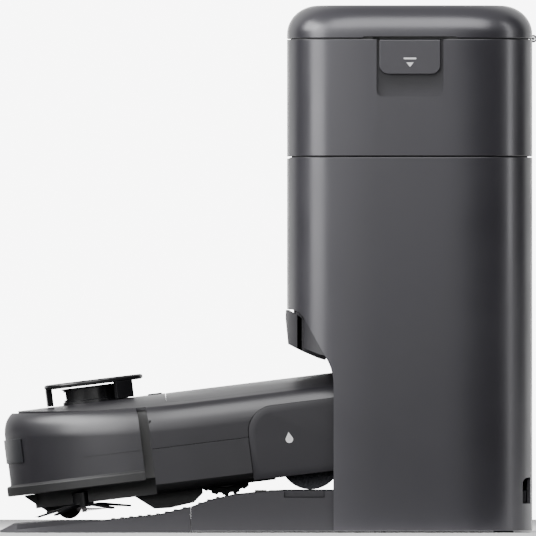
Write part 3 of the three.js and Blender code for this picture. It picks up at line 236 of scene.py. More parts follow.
# Smoked polycarbonate, polished, which reads as a darker, wetter patch.
SMOKED = Finish("smoked_polycarbonate", "smoked_plastic", "#1d1e21", Pattern.POLISHED, 0.3, ior=1.58,
                depth=0.002)
CARD = Finish("coated_card", "white_card", "#d9d7d0", Pattern.NONWOVEN, 0.7, grain=0.5, depth=0.02)
STEEL = Finish("turned_steel", "steel", "#b9babc", Pattern.TURNED, 0.28, metallic=1.0, grain=0.4, depth=0.004)
GOLD = Finish("plated_contact", "contact_metal", "#c9a558", Pattern.TURNED, 0.25, metallic=1.0, grain=0.4,
              depth=0.003)
BOARD = Finish("lacquered_circuit_board", "circuit_board", "#1d4a32", Pattern.POLISHED, 0.35, coat=0.3)
# Spun-bonded polyester: an off-white felt whose fibres show as faint clouding.
BAG_CLOTH = Finish("spun_bonded_cloth", "bag_cloth", "#dfdbd0", Pattern.NONWOVEN, 0.92, sheen=0.2, grain=2.2,
                   depth=0.25, mottle=0.1)
# Looped microfibre pile, 2 mm loops: drawn at its real size, it breaks the light into small knots.
FLEECE = Finish("microfibre_fleece", "mop_fleece", "#5a5b61", Pattern.FLEECE, 0.95, sheen=0.5, grain=2.0,
                depth=0.8, mottle=0.2)
NYLON = Finish("bristle_nylon", "bristle", "#1d191b", Pattern.POLISHED, 0.45, grain=1.0, depth=0.004)
# Pad-printed light grey ink, for the plain marks that stand where the real one has words.
INK = Finish("printed_mark", "white_card", "#d5d5d6", Pattern.POLISHED, 0.5, depth=0.001, mottle=0.02)


# ---- Mesh work --------------------------------------------------------------------------------------


def cad(node: str) -> tuple[Vector, Vector]:
    """Return a CAD node's lowest and highest corners, in millimetres."""
    low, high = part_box(node)
    return Vector(low) / MM, Vector(high) / MM


def arc(x: float, y: float, radius: float, start: float, stop: float, steps: int) -> list[Point]:
    """Give points along an arc, its ends included.

    Args:
        x: The centre's first coordinate.
        y: The centre's second coordinate.
        radius: The arc's radius.
        start: The first angle, in radians.
        stop: The last angle, in radians.
        steps: How many stretches the arc is cut into.

    Returns:
        The points, from start to stop.
    """
    angles = (start + (stop - start) * i / steps for i in range(steps + 1))
    return [(x + radius * math.cos(a), y + radius * math.sin(a)) for a in angles]


def curve(a: Point, b: Point, c: Point, steps: int) -> list[Point]:
    """Give points along a quadratic curve from a to c that bends towards b, its ends included."""
    made = []
    for i in range(steps + 1):
        t = i / steps
        u = 1 - t
        made.append(tuple(u * u * p + 2 * u * t * q + t * t * r for p, q, r in zip(a, b, c)))
    return made


def rounded_box(x0: float, x1: float, y0: float, y1: float, radius: float, steps: int = 8) -> list[Point]:
    """Give the outline of a rectangle with round corners, counter-clockwise."""
    quarter = TURN / 4
    return [
        *arc(x1 - radius, y1 - radius, radius, 0, quarter, steps),
        *arc(x0 + radius, y1 - radius, radius, quarter, 2 * quarter, steps),
        *arc(x0 + radius, y0 + radius, radius, 2 * quarter, 3 * quarter, steps),
        *arc(x1 - radius, y0 + radius, radius, 3 * quarter, 4 * quarter, steps),
    ]


def edges_round(bm: bmesh.types.BMesh, ring: Sequence[bmesh.types.BMVert]) -> list[bmesh.types.BMEdge]:
    """Return the edges that join a ring of vertices, in order."""
    return [bm.edges.get((v, ring[(i + 1) % len(ring)])) for i, v in enumerate(ring)]


def loft(outline: Outline, path: Sequence[Point], capped: bool) -> bmesh.types.BMesh:
    """Carry an outline through a path of insets and heights.

    Args:
        outline: Gives the outline's points when it is pulled in by an inset.
        path: The (inset, height) of each step.
        capped: True closes both ends with a face, and False joins the last step to the first.

    Returns:
        A closed mesh with its faces outwards.
    """
    bm = bmesh.new()
    spots = outline(path[0][0])
    ring = bmesh.ops.create_circle(bm, segments=len(spots), radius=1.0)["verts"]
    for vert, (x, y) in zip(ring, spots):
        vert.co = (x, y, path[0][1])
    first = edges_round(bm, ring)
    for inset, height in path[1:]:
        grown = bmesh.ops.extrude_edge_only(bm, edges=edges_round(bm, ring))["geom"]
        fresh = {v for v in grown if isinstance(v, bmesh.types.BMVert)}
        ring = [next(e.other_vert(v) for e in v.link_edges if e.other_vert(v) in fresh) for v in ring]
        for vert, (x, y) in zip(ring, outline(inset)):
            vert.co = (x, y, height)
    last = edges_round(bm, ring)
    if capped:
        bmesh.ops.edgeloop_fill(bm, edges=first)
        bmesh.ops.edgeloop_fill(bm, edges=last)
    else:
        bmesh.ops.bridge_loops(bm, edges=first + last)
    bmesh.ops.recalc_face_normals(bm, faces=bm.faces)
    return bm


class Along(Enum):
    """The axis that a flat outline is carried along, and the turn that brings it there."""

    X = Matrix(((0, 0, 1, 0), (1, 0, 0, 0), (0, 1, 0, 0), (0, 0, 0, 1)))
    Y = Matrix(((1, 0, 0, 0), (0, 0, 1, 0), (0, 1, 0, 0), (0, 0, 0, 1)))
    Z = Matrix.Identity(4)


def prism(points: Sequence[Point], low: float, high: float, along: Along = Along.Z) -> bmesh.types.BMesh:
    """Carry a flat outline straight along an axis.

    Args:
        points: The outline, in the two axes across the one it is carried along, in X, Y, Z order.
        low: Where it starts.
        high: Where it stops.
        along: The axis it is carried along.

    Returns:
        A closed mesh with its faces outwards.
    """
    bm = loft(lambda _inset: list(points), [(0, low), (0, high)], capped=True)
    bmesh.ops.transform(bm, matrix=along.value, verts=bm.verts)
    bmesh.ops.recalc_face_normals(bm, faces=bm.faces)
    return bm


def square_block(
    x_span: tuple[float, float], y_span: tuple[float, float], z_span: tuple[float, float]
) -> bmesh.types.BMesh:
    """Build a square-cornered block, which only ever serves as a cutting tool."""
    (x0, x1), (y0, y1) = x_span, y_span
    return prism([(x0, y0), (x1, y0), (x1, y1), (x0, y1)], *z_span)


def lathe(profile: Sequence[Point], steps: int, centre: Vector | None = None) -> bmesh.types.BMesh:
    """Spin a (radius, height) profile round an upright axis.

    Args:
        profile: The profile, which starts and ends on the axis or closes on itself.
        steps: How many stretches the full turn has.
        centre: Where the axis stands, or none for the origin.

    Returns:
        A closed mesh with its faces outwards.
    """
    bm = bmesh.new()
    verts = [bm.verts.new((radius, 0, height)) for radius, height in profile]
    edges = [bm.edges.new(pair) for pair in zip(verts, verts[1:])]
    bmesh.ops.spin(
        bm, geom=verts + edges, cent=(0, 0, 0), axis=(0, 0, 1), angle=TURN, steps=steps, use_merge=True
    )
    bmesh.ops.remove_doubles(bm, verts=bm.verts, dist=1e-4)
    bmesh.ops.recalc_face_normals(bm, faces=bm.faces)
    if centre is not None:
        bmesh.ops.translate(bm, vec=centre, verts=bm.verts)
    return bm


def merged(parts: Iterable[bmesh.types.BMesh]) -> bmesh.types.BMesh:
    """Put several meshes into one and free them."""
    whole = bmesh.new()
    for part in parts:
        carrier = bpy.data.meshes.new("carrier")
        part.to_mesh(carrier)
        part.free()
        whole.from_mesh(carrier)
        bpy.data.meshes.remove(carrier)
    return whole


def slice_off(bm: bmesh.types.BMesh, at: Vector, beyond: Vector) -> None:
    """Cut a closed mesh with a plane, drop what lies beyond it, and close the cut."""
    geometry = bm.verts[:] + bm.edges[:] + bm.faces[:]
    bmesh.ops.bisect_plane(bm, geom=geometry, plane_co=at, plane_no=beyond, clear_outer=True)
    open_edges = [e for e in bm.edges if e.is_boundary]
    bmesh.ops.holes_fill(bm, edges=open_edges, sides=0)
    bmesh.ops.recalc_face_normals(bm, faces=bm.faces)


def as_object(name: str, bm: bmesh.types.BMesh) -> bpy.types.Object:
    """Turn a mesh into an object in the scene, still in millimetres, and free the mesh."""
    mesh = bpy.data.meshes.new(name)
    bm.to_mesh(mesh)
    bm.free()
    made = bpy.data.objects.new(name, mesh)
    bpy.context.collection.objects.link(made)
    return made


def settle(piece: bpy.types.Object) -> None:
    """Turn a piece's modifiers into its mesh."""
    graph = bpy.context.evaluated_depsgraph_get()
    mesh = bpy.data.meshes.new_from_object(piece.evaluated_get(graph))
    piece.modifiers.clear()
    old = piece.data
    piece.data = mesh
    bpy.data.meshes.remove(old)


def carve(piece: bpy.types.Object, tool: bmesh.types.BMesh, operation: str = "DIFFERENCE") -> None:
    """Cut a piece with a closed mesh, or keep only what lies inside it.

    Args:
        piece: The piece to cut, in millimetres.
        tool: The cutting mesh, which is freed.
        operation: DIFFERENCE, INTERSECT or UNION.
    """
    cutter = as_object("cutter", tool)
    cut = piece.modifiers.new("cut", "BOOLEAN")
    cut.operation = operation
    cut.solver = "EXACT"
    cut.object = cutter
    settle(piece)
    mesh = cutter.data
    bpy.data.objects.remove(cutter)
    bpy.data.meshes.remove(mesh)


def complete(
    piece: bpy.types.Object,
    finish: Finish,
    body: str,
    replaces: Sequence[str] = (),
    edge: float = 0.0,
    place: Matrix | None = None,
    crease: float = 40.0,
) -> bpy.types.Object:
    """Round a piece's edges, place and scale it, dress it and fix it to its body.

    Args:
        piece: The piece, in millimetres.
        finish: Its material.
        body: The CAD body that it rides on.
        replaces: The CAD nodes that it stands for.
        edge: The width of its rounded edges, or nought to leave them.
        place: The matrix from the piece's own frame to the row frame, in millimetres.
        crease: Edges that turn by more than this many degrees stay sharp in the shading.

    Returns:
        The piece.
    """
    if edge:
        rounding = piece.modifiers.new("edges", "BEVEL")
        rounding.width = edge
        rounding.segments = 3
        rounding.limit_method = "ANGLE"
        rounding.angle_limit = math.radians(38)
        rounding.miter_outer = "MITER_ARC"
        settle(piece)
    piece.data.transform(Matrix.Scale(MM, 4) @ (place or Matrix.Identity(4)))
    piece.data.shade_smooth()
    piece.data.set_sharp_from_angle(angle=math.radians(crease))
    even = piece.modifiers.new("even_normals", "WEIGHTED_NORMAL")
    even.keep_sharp = True
    if not piece.data.materials:
        piece.data.materials.append(finish.material())
    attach(piece, body)
    if replaces:
        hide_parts(*replaces)
    log.info("%s: %d faces on %s", piece.name, len(piece.data.polygons), body)
    return piece


def two_tone(
    piece: bpy.types.Object, first: Finish, second: Finish, chosen: Callable[[Vector, Vector], bool]
) -> None:
    """Give some faces of a piece a second finish.

    Args:
        piece: The piece, in millimetres and in its own frame.
        first: The finish of the other faces.
        second: The finish of the chosen faces.
        chosen: Tells from a face's centre and normal whether it is one of them.
    """
    piece.data.materials.clear()
    for finish in (first, second):
        piece.data.materials.append(finish.material())
    for face in piece.data.polygons:
        face.material_index = int(chosen(face.center, face.normal))


BODY_OF = {node: body for body, nodes in frame["record"]["behaviour"]["bodies"].items() for node in nodes}


def refine(
    node: str,
    finish: Finish,
    edge: float = 0.4,
    second: Finish | None = None,
    chosen: Callable[[Vector, Vector], bool] | None = None,
) -> bpy.types.Object:
    """Copy a CAD node whose shape is right, join its loose triangles and round its edges.

    Args:
        node: The CAD node.
        finish: The copy's material.
        edge: The width of its rounded edges, in millimetres.
        second: The finish of some of its faces, or none.
        chosen: Tells which faces those are, in the row frame.

    Returns:
        The finished copy, which stands for the node.
    """
    bm = bmesh.new()
    bm.from_mesh(frame["nodes"][node].data)
    bmesh.ops.remove_doubles(bm, verts=bm.verts, dist=3e-6)
    bmesh.ops.scale(bm, vec=(1 / MM,) * 3, verts=bm.verts)
    bmesh.ops.dissolve_limit(bm, angle_limit=math.radians(0.5), verts=bm.verts, edges=bm.edges)
    piece = as_object(f"{node}_skin", bm)
    if second is not None:
        two_tone(piece, finish, second, chosen)
    return complete(piece, finish, BODY_OF[node], [node], edge=edge)


# ---- Dock tower -------------------------------------------------------------------------------------


@dataclass
class Tower:
    """The dock's upright housing: panels, door, tanks, latches and lid round one rounded-square plan."""

    front: float = cad("front_door")[0].x
    rear: float = cad("rear_cover")[1].x
    half_width: float = cad("right_side_panel")[1].y
    squareness: float = 5.0
    wall: float = 3.0
    tank_wall: float = 2.5
    rim: float = 0.6
    steps: int = 168
    foot: float = cad("left_side_panel")[0].z
    tier: float = cad("tier_deck")[1].z
    tank_bottom: float = cad("clean_tank_shell")[0].z
    tank_top: float = cad("clean_tank_shell")[1].z
    lid_gap: float = 1.0
    lid_top: float = cad("top_lid")[1].z
    dome_width: float = 26.0
    dome_drop: float = 24.0
    pocket_half: float = 28.0
    pocket_height: float = 48.5
    pocket_depth: float = 14.0
    bay_top: float = 187.0
    panel_seam: float = 112.0
    cover_seam: float = 111.7
    mark_tip: float = 390.2

    @property
    def middle(self) -> float:
        """Return the plan's centre along X."""
        return (self.front + self.rear) / 2

    @property
    def lid_bottom(self) -> float:
        """Return the height of the lid's lower edge."""
        return self.tank_top + self.lid_gap

    def outline(self, inset: float) -> list[Point]:
        """Give the plan outline, pulled in by inset."""
        half_x = (self.rear - self.front) / 2 - inset
        half_y = self.half_width - inset
        points = []
        for i in range(self.steps):
            c, s = math.cos(TURN * i / self.steps), math.sin(TURN * i / self.steps)
            bend = 2 / self.squareness
            x = self.middle + half_x * math.copysign(abs(c) ** bend, c)
            points.append((x, half_y * math.copysign(abs(s) ** bend, s)))
        return points

    def wall_path(self, low: float, high: float, wall: float) -> list[Point]:
        """Give the section of a wall between two heights, with its outer edges rounded."""
        rim = self.rim
        lower = [(x, z) for x, z in arc(rim, low + rim, rim, -TURN / 4, -TURN / 2, 3)]
        upper = [(x, z) for x, z in arc(rim, high - rim, rim, TURN / 2, TURN / 4, 3)]
        return [*lower, *upper, (wall, high), (wall, low)]

    def ring(self, low: float, high: float, wall: float) -> bmesh.types.BMesh:
        """Build a whole wall ring between two heights."""
        return loft(self.outline, self.wall_path(low, high, wall), capped=False)

    def block(self, low: float, high: float, inset: float) -> bmesh.types.BMesh:
        """Build a solid block of the plan between two heights."""
        return loft(self.outline, [(inset, low), (inset, high)], capped=True)

    def bay_cut(self) -> bmesh.types.BMesh:
        """Build the cutting tool that leaves the side panels open round the robot.

        Returns:
            A prism that runs through both panels.
        """
        edge, bend, top = self.front + 39.0, 124.0, self.bay_top
        shape = [
            (self.front - 60, -5),
            (edge, -5),
            *curve((edge, bend), (edge, bend + 12), (edge - 6, bend + 22), 10),
            *curve((edge - 24, top - 8.5), (edge - 28.5, top), (edge - 37, top), 10),
            (self.front - 60, top),
        ]
        return prism(shape, -300, 300, Along.Y)

    def build_side_panels(self) -> None:
        """Build the two side panels with their bay cut and, on the left, the cord recess."""
        for side, name in ((-1, "left"), (1, "right")):
            node = f"{name}_side_panel"
            skin = self.ring(self.foot, self.tier - 0.4, self.wall)
            slice_off(skin, Vector((0, side * self.panel_seam, 0)), Vector((0, -side, 0)))
            piece = as_object(f"{node}_skin", skin)
            carve(piece, self.bay_cut())
            if side < 0:
                carve(piece, self.cord_recess())
            complete(piece, SHELL, "station", [node], edge=0.9)

    def cord_recess(self) -> bmesh.types.BMesh:
        """Build the tool that cuts the recess round the mains inlet, with one round upper corner."""
        z0, z1, x0 = 24.4, 46.2, self.rear - 8.5
        shape = [(x0, z0), (x0 + 30, z0), (x0 + 30, z1), *arc(x0 + 5, z1 - 5, 5, TURN / 4, TURN / 2, 8)]
        return prism(shape, -150, -self.panel_seam, Along.Y)

    def build_rear_cover(self) -> None:
        """Build the rear cover with its field of fine vent slots."""
        skin = self.ring(self.foot, self.tier - 0.4, self.wall)
        slice_off(skin, Vector((self.middle, 0, 0)), Vector((-1, 0, 0)))
        for side in (-1, 1):
            slice_off(skin, Vector((0, side * self.cover_seam, 0)), Vector((0, side, 0)))
        piece = as_object("rear_cover_skin", skin)
        slots = []
        for row in range(9):
            z = 86.5 + row * 6.3
            for column in range(4):
                y = (column - 1.5) * 31
                slots.append(prism(rounded_box(y - 14, y + 14, z, z + 3, 1.4, 4), self.rear - 20,
                                   self.rear + 20, Along.X))
        carve(piece, merged(slots))
        complete(piece, SHELL, "station", ["rear_cover"], edge=0.5)

    def build_door(self) -> None:
        """Build the front door of the dust bag's chamber."""
        low, high = cad("front_door")
        skin = self.ring(low.z, high.z, self.wall)
        slice_off(skin, Vector((self.middle, 0, 0)), Vector((1, 0, 0)))
        slice_off(skin, Vector((0, low.y, 0)), Vector((0, -1, 0)))
        slice_off(skin, Vector((0, high.y, 0)), Vector((0, 1, 0)))
        complete(as_object("front_door_skin", skin), SHELL, "door", ["front_door"], edge=0.7)

    def pocket(self, side: int, extra: float = 0.0) -> bmesh.types.BMesh:
        """Build the tool for the pocket behind a tank's pull.

        Args:
            side: -1 for the left tank, 1 for the right one.
            extra: How much larger it is on each closed side.

        Returns:
            A prism with round lower corners.
        """
        half, top = self.pocket_half + extra, self.lid_bottom + 3
        low = self.lid_bottom - 0.4 - self.pocket_height - extra
        shape = [
            (self.middle + half, top),
            (self.middle - half, top),
            *arc(self.middle - half + 5, low + 5, 5, TURN / 2, 0.75 * TURN, 6),
            *arc(self.middle + half - 5, low + 5, 5, 0.75 * TURN, TURN, 6),
        ]
        inner = self.half_width - self.pocket_depth - extra
        reach = sorted((side * inner, side * (self.half_width + 20)))
        return prism(shape, reach[0], reach[1], Along.Y)

    def build_tanks(self) -> None:
        """Build both tank shells with their latch pockets, and refine what closes them."""
        for side, name in ((-1, "clean_tank"), (1, "dirty_tank")):
            inner = cad(f"{name}_shell")[0 if side > 0 else 1].y
            skin = self.block(self.tank_bottom, self.tank_top, 0)
            piece = as_object(f"{name}_shell_skin", skin)
            piece = self._round_block(piece)
            carve(piece, self.block(self.tank_bottom + 3, self.tank_top + 5, self.tank_wall))
            lining = self.block(self.tank_bottom + 1, self.tank_top - 0.02, 0.02)
            box = as_object("lining", self.pocket(side, self.tank_wall))
            carve(box, lining, "INTERSECT")
            whole = bmesh.new()
            whole.from_mesh(box.data)
            bpy.data.objects.remove(box)
            carve(piece, whole, "UNION")
            carve(piece, self.pocket(side))
            half = bmesh.new()
            half.from_mesh(piece.data)
            slice_off(half, Vector((0, inner, 0)), Vector((0, -side, 0)))
            wall = prism([(self.front - 5, self.tank_bottom), (self.rear + 5, self.tank_bottom),
                          (self.rear + 5, self.tank_top), (self.front - 5, self.tank_top)],
                         *sorted((inner, inner + side * self.tank_wall)), Along.Y)
            inside = as_object("inside_wall", wall)
            carve(inside, self.block(self.tank_bottom, self.tank_top, 0.05), "INTERSECT")
            bpy.data.objects.remove(piece)
            piece = as_object(f"{name}_shell_skin", half)
            plate = bmesh.new()
            plate.from_mesh(inside.data)
            bpy.data.objects.remove(inside)
            carve(piece, plate, "UNION")
            complete(piece, SHELL, name, [f"{name}_shell"], edge=0.5)
            refine(f"{name}_top", DARK_ABS_AND_SHADE)
            self.build_latch(side, name)

    def _round_block(self, piece: bpy.types.Object) -> bpy.types.Object:
        """Round the upper and lower outer edges of a plan block by the seam radius."""
        rounding = piece.modifiers.new("rim", "BEVEL")
        rounding.width = self.rim
        rounding.segments = 3
        rounding.angle_limit = math.radians(60)
        settle(piece)
        return piece

    def build_latch(self, side: int, name: str) -> None:
        """Build a tank's pull: a flat, round-cornered plate on its barrel, with a plain mark that points
        down.

        Args:
            side: -1 for the left tank, 1 for the right one.
            name: The tank's body name.
        """
        low, high = cad(f"{name}_latch")
        corner, z0, z1 = 7.5, low.z, high.z
        shape = [
            (high.x, z1),
            (low.x, z1),
            *arc(low.x + corner, z0 + corner, corner, TURN / 2, 0.75 * TURN, 8),
            *arc(high.x - corner, z0 + corner, corner, 0.75 * TURN, TURN, 8),
        ]
        face = side * max(abs(low.y), abs(high.y))
        back = face - side * 2.8
        plate = prism(shape, *sorted((face, back)), Along.Y)
        barrel = lathe([(0, low.x), (2.4, low.x), (2.4, high.x), (0, high.x)], 24)
        bmesh.ops.transform(barrel, matrix=Along.X.value, verts=barrel.verts)
        bmesh.ops.translate(barrel, vec=(0, back - side, z1 - 3.5), verts=barrel.verts)
        bmesh.ops.recalc_face_normals(barrel, faces=barrel.faces)
        latch = name.replace("tank", "latch")
        complete(as_object(f"{name}_latch_skin", merged([plate, barrel])), SHELL, latch,
                 [f"{name}_latch"], edge=0.7)
        middle = (low.x + high.x) / 2
        tip = self.mark_tip
        shoulder, foot, head = tip + 3.8, tip + 6.4, tip + 7.8
        arrow = [(middle - 3.0, shoulder), (middle, tip), (middle + 3.0, shoulder)]
        bar = [(middle - 5.2, foot), (middle + 5.2, foot), (middle + 5.2, head), (middle - 5.2, head)]
        print_span = sorted((face - side * 0.05, face + side * 0.06))
        marks = [prism(shape, *print_span, Along.Y) for shape in (arrow, bar)]
        complete(as_object(f"{name}_pull_mark", merged(marks)), INK, latch)

    def build_seals(self) -> None:
        """Build the rubber seals that sit back in the seams, under the tanks and inside the lid's edge."""
        seat = [(4, self.tier + 0.02), (4, self.tank_bottom - 0.02), (7.5, self.tank_bottom - 0.02),
                (7.5, self.tier + 0.02)]
        complete(as_object("tank_seat_seal", loft(self.outline, seat, capped=False)), RUBBER, "station")
        low, high = self.tank_top + 0.05, self.lid_bottom + 12
        lips = []
        for inset in (3.1, 7.2):
            lip = [(inset, low), (inset, high), (inset + 2.4, high), (inset + 2.4, low)]
            lips.append(as_object("lip", loft(self.outline, lip, capped=False)))
        past = (low - 1, high + 1)
        carve(lips[0], square_block((self.middle - 31, self.middle + 31), (-300, 300), past))
        both = bmesh.new()
        for lip in lips:
            both.from_mesh(lip.data)
            bpy.data.objects.remove(lip)
        seal = as_object("lid_seal", both)
        for x in (self.rear, self.front):
            carve(seal, square_block((x - 14, x + 14), (-29, 29), past))
        complete(seal, RUBBER, "lid")

    def build_hood(self) -> None:
        """Build the brow over the bay, its front wrapped round both corners to the side panels."""
        x = self.front
        # The brow, its liner and the CAD brow take the darker finish, whose colour is partly painted shade
        # for the shadow under the recessed brow.
        piece = as_object("bay_hood_corners", self.block(120, self.bay_top - 0.4, -1.3))
        carve(piece, self.block(100, 200, 1.9))
        side = [(x - 1, 186.6), (x - 1.3, 180), (x + 0.9, 158), (x + 12.7, 152), (x + 26.1, 146.2),
                (x + 32, 144.5), (x + 38, 155), (x + 14.6, 178), (x + 9, 182.4), (x + 1.7, 186.6)]
        carve(piece, prism(side, -150, 150, Along.Y), "INTERSECT")
        carve(piece, square_block((x - 9, x + 60), (-100, 100), (100, 200)))
        complete(piece, DARK_ABS_AND_SHADE, "station", edge=0.5)
        liner = as_object("bay_hood_liner", self.block(120, 187.6, 3.3))
        carve(liner, self.block(100, 200, 5.0))
        side = [(x + 4, 187.4), (x + 4, 161), (x + 13, 155), (x + 27, 149.5), (x + 34, 148), (x + 40, 150),
                (x + 40, 187.4)]
        carve(liner, prism(side, -178, 178, Along.Y), "INTERSECT")
        carve(liner, square_block((x - 9, x + 60), (-114, 114), (100, 200)))
        complete(liner, DARK_ABS_AND_SHADE, "station")
        refine("bay_hood", DARK_ABS_AND_SHADE, 0.8)

    def build_column(self) -> None:
        """Build the spine between the tanks."""
        refine("centre_column", SHELL, 0.3)

    def build_lid(self) -> None:
        """Build the domed lid, hollow below, with finger gaps at its sides and its hinge knuckles."""
        base, top, wall = self.lid_bottom, self.lid_top, self.wall
        width, drop = self.dome_width, self.dome_drop
        turns = [TURN / 4 * i / 16 for i in range(17)]
        outer = [(width - width * math.cos(t), top - drop + drop * math.sin(t)) for t in turns]
        inner = [
            (wall + (width - wall) * (1 - math.cos(t)), top - drop + (drop - wall) * math.sin(t))
            for t in turns
        ]
        rim = [(x, z) for x, z in arc(self.rim, base + self.rim, self.rim, -TURN / 4, -TURN / 2, 3)]
        flat = [width + 14 * i for i in range(1, 5)]
        path = [
            *[(inset, top - wall) for inset in reversed(flat)],
            *reversed(inner),
            (wall, base),
            *rim,
            *outer,
            *[(inset, top) for inset in flat],
        ]
        skin = loft(self.outline, path, capped=True)
        piece = as_object("top_lid_skin", skin)
        gap = prism(rounded_box(self.middle - 39.5, self.middle + 39.5, base - 6, base + 1.4, 1.3, 5),
                    -300, 300, Along.Y)
        carve(piece, gap)
        notch = prism([(self.rear - 3.4, -8.4), (self.rear + 9, -8.4), (self.rear + 9, 8.4),
                       (self.rear - 3.4, 8.4)], base - 4, base + 4.2)
        carve(piece, notch)
        knuckles = []
        for side in (-1, 1):
            barrel = lathe([(1.7, 9), (3.2, 9), (3.2, 20), (1.7, 20), (1.7, 9)], 28)
            bmesh.ops.transform(barrel, matrix=Along.Y.value, verts=barrel.verts)
            bmesh.ops.scale(barrel, vec=(1, side, 1), verts=barrel.verts)
            bmesh.ops.translate(barrel, vec=(self.rear + 1, 0, base), verts=barrel.verts)
            bmesh.ops.recalc_face_normals(barrel, faces=barrel.faces)
            knuckles.append(barrel)
        complete(piece, SHELL, "lid", ["top_lid"], edge=0.4)
        complete(as_object("lid_hinge_barrels", merged(knuckles)), SHELL, "lid")

    def build(self) -> None:
        """Build the whole tower and what it holds."""
        self.build_side_panels()
        self.build_rear_cover()
        self.build_door()
        self.build_tanks()
        self.build_column()
        self.build_lid()
        self.build_hood()
        self.build_seals()
        # The bay's back wall, the tier deck and the bag chamber take the darker finish, whose colour is
        # partly painted shade for the recessed bay.
        for node, finish, edge in (
            ("bay_back_wall", DARK_ABS_AND_SHADE, 0.5), ("tier_deck", DARK_ABS_AND_SHADE, 0.5), ("bag_chamber", DARK_ABS_AND_SHADE, 0.6),
            ("bag_collar", CARD, 0.3), ("suction_motor", GLOSS, 0.8), ("water_pump", GLOSS, 0.6),
            ("power_board", BOARD, 0.2), ("charge_contact_left", GOLD, 0.5),
            ("charge_contact_right", GOLD, 0.5),
            ("inlet_socket", GLOSS, 0.3), ("lid_hinge_pin", STEEL, 0.2),
        ):
            refine(node, finish, edge)
        self.build_bag()

    def build_bag(self) -> None:
        """Build the dust bag: a blown-out cloth bag with a pinched seam round its middle."""
        low, high = cad("dust_bag")
        centre, half = (low + high) / 2, (high - low) / 2
        bm = bmesh.new()
        bmesh.ops.create_cube(bm, size=2.0)
        bmesh.ops.subdivide_edges(bm, edges=bm.edges, cuts=15, use_grid_fill=True)
        for vert in bm.verts:
            x, y, z = vert.co
            swell = (1 - 0.10 * (y * y + z * z), 1 - 0.05 * (x * x + z * z), 1 - 0.10 * (x * x + y * y))
            crease = 0.015 * noise.noise(Vector((x * 2.2, y * 3.0, z * 2.2)))
            seam = 0.03 * math.exp(-((z / 0.05) ** 2))
            vert.co = Vector((x * swell[0], y * swell[1], z * swell[2])) * (0.985 + crease + seam)
            vert.co = Vector([centre[i] + half[i] * max(-1, min(1, vert.co[i])) for i in range(3)])
        bmesh.ops.smooth_vert(
            bm, verts=bm.verts, factor=0.5, use_axis_x=True, use_axis_y=True, use_axis_z=True
        )
        bag = as_object("dust_bag_cloth", bm)
        softer = bag.modifiers.new("soft", "SUBSURF")
        softer.levels = softer.render_levels = 1
        settle(bag)
        complete(bag, BAG_CLOTH, "station", ["dust_bag"], crease=180)


# ---- Base and ramp ----------------------------------------------------------------------------------


@dataclass
class Base:
    """The ramp, the dock's floor and what is let into it."""

    edge: float = 0.8

    def build(self) -> None:
        """Refine the floor's pieces, which CAD holds at their true shape."""
        refine("ramp_toe", FLOOR, self.edge)
        refine("base_plate", FLOOR, self.edge)
        refine("washing_tray", DARK_ABS_AND_SHADE, 0.5)
        refine("wiper_strip", RUBBER, 0.4)
        refine("front_foot_strip", RUBBER, 0.3)
        refine("rear_foot_strip", RUBBER, 0.3)


# ---- Robot ------------------------------------------------------------------------------------------


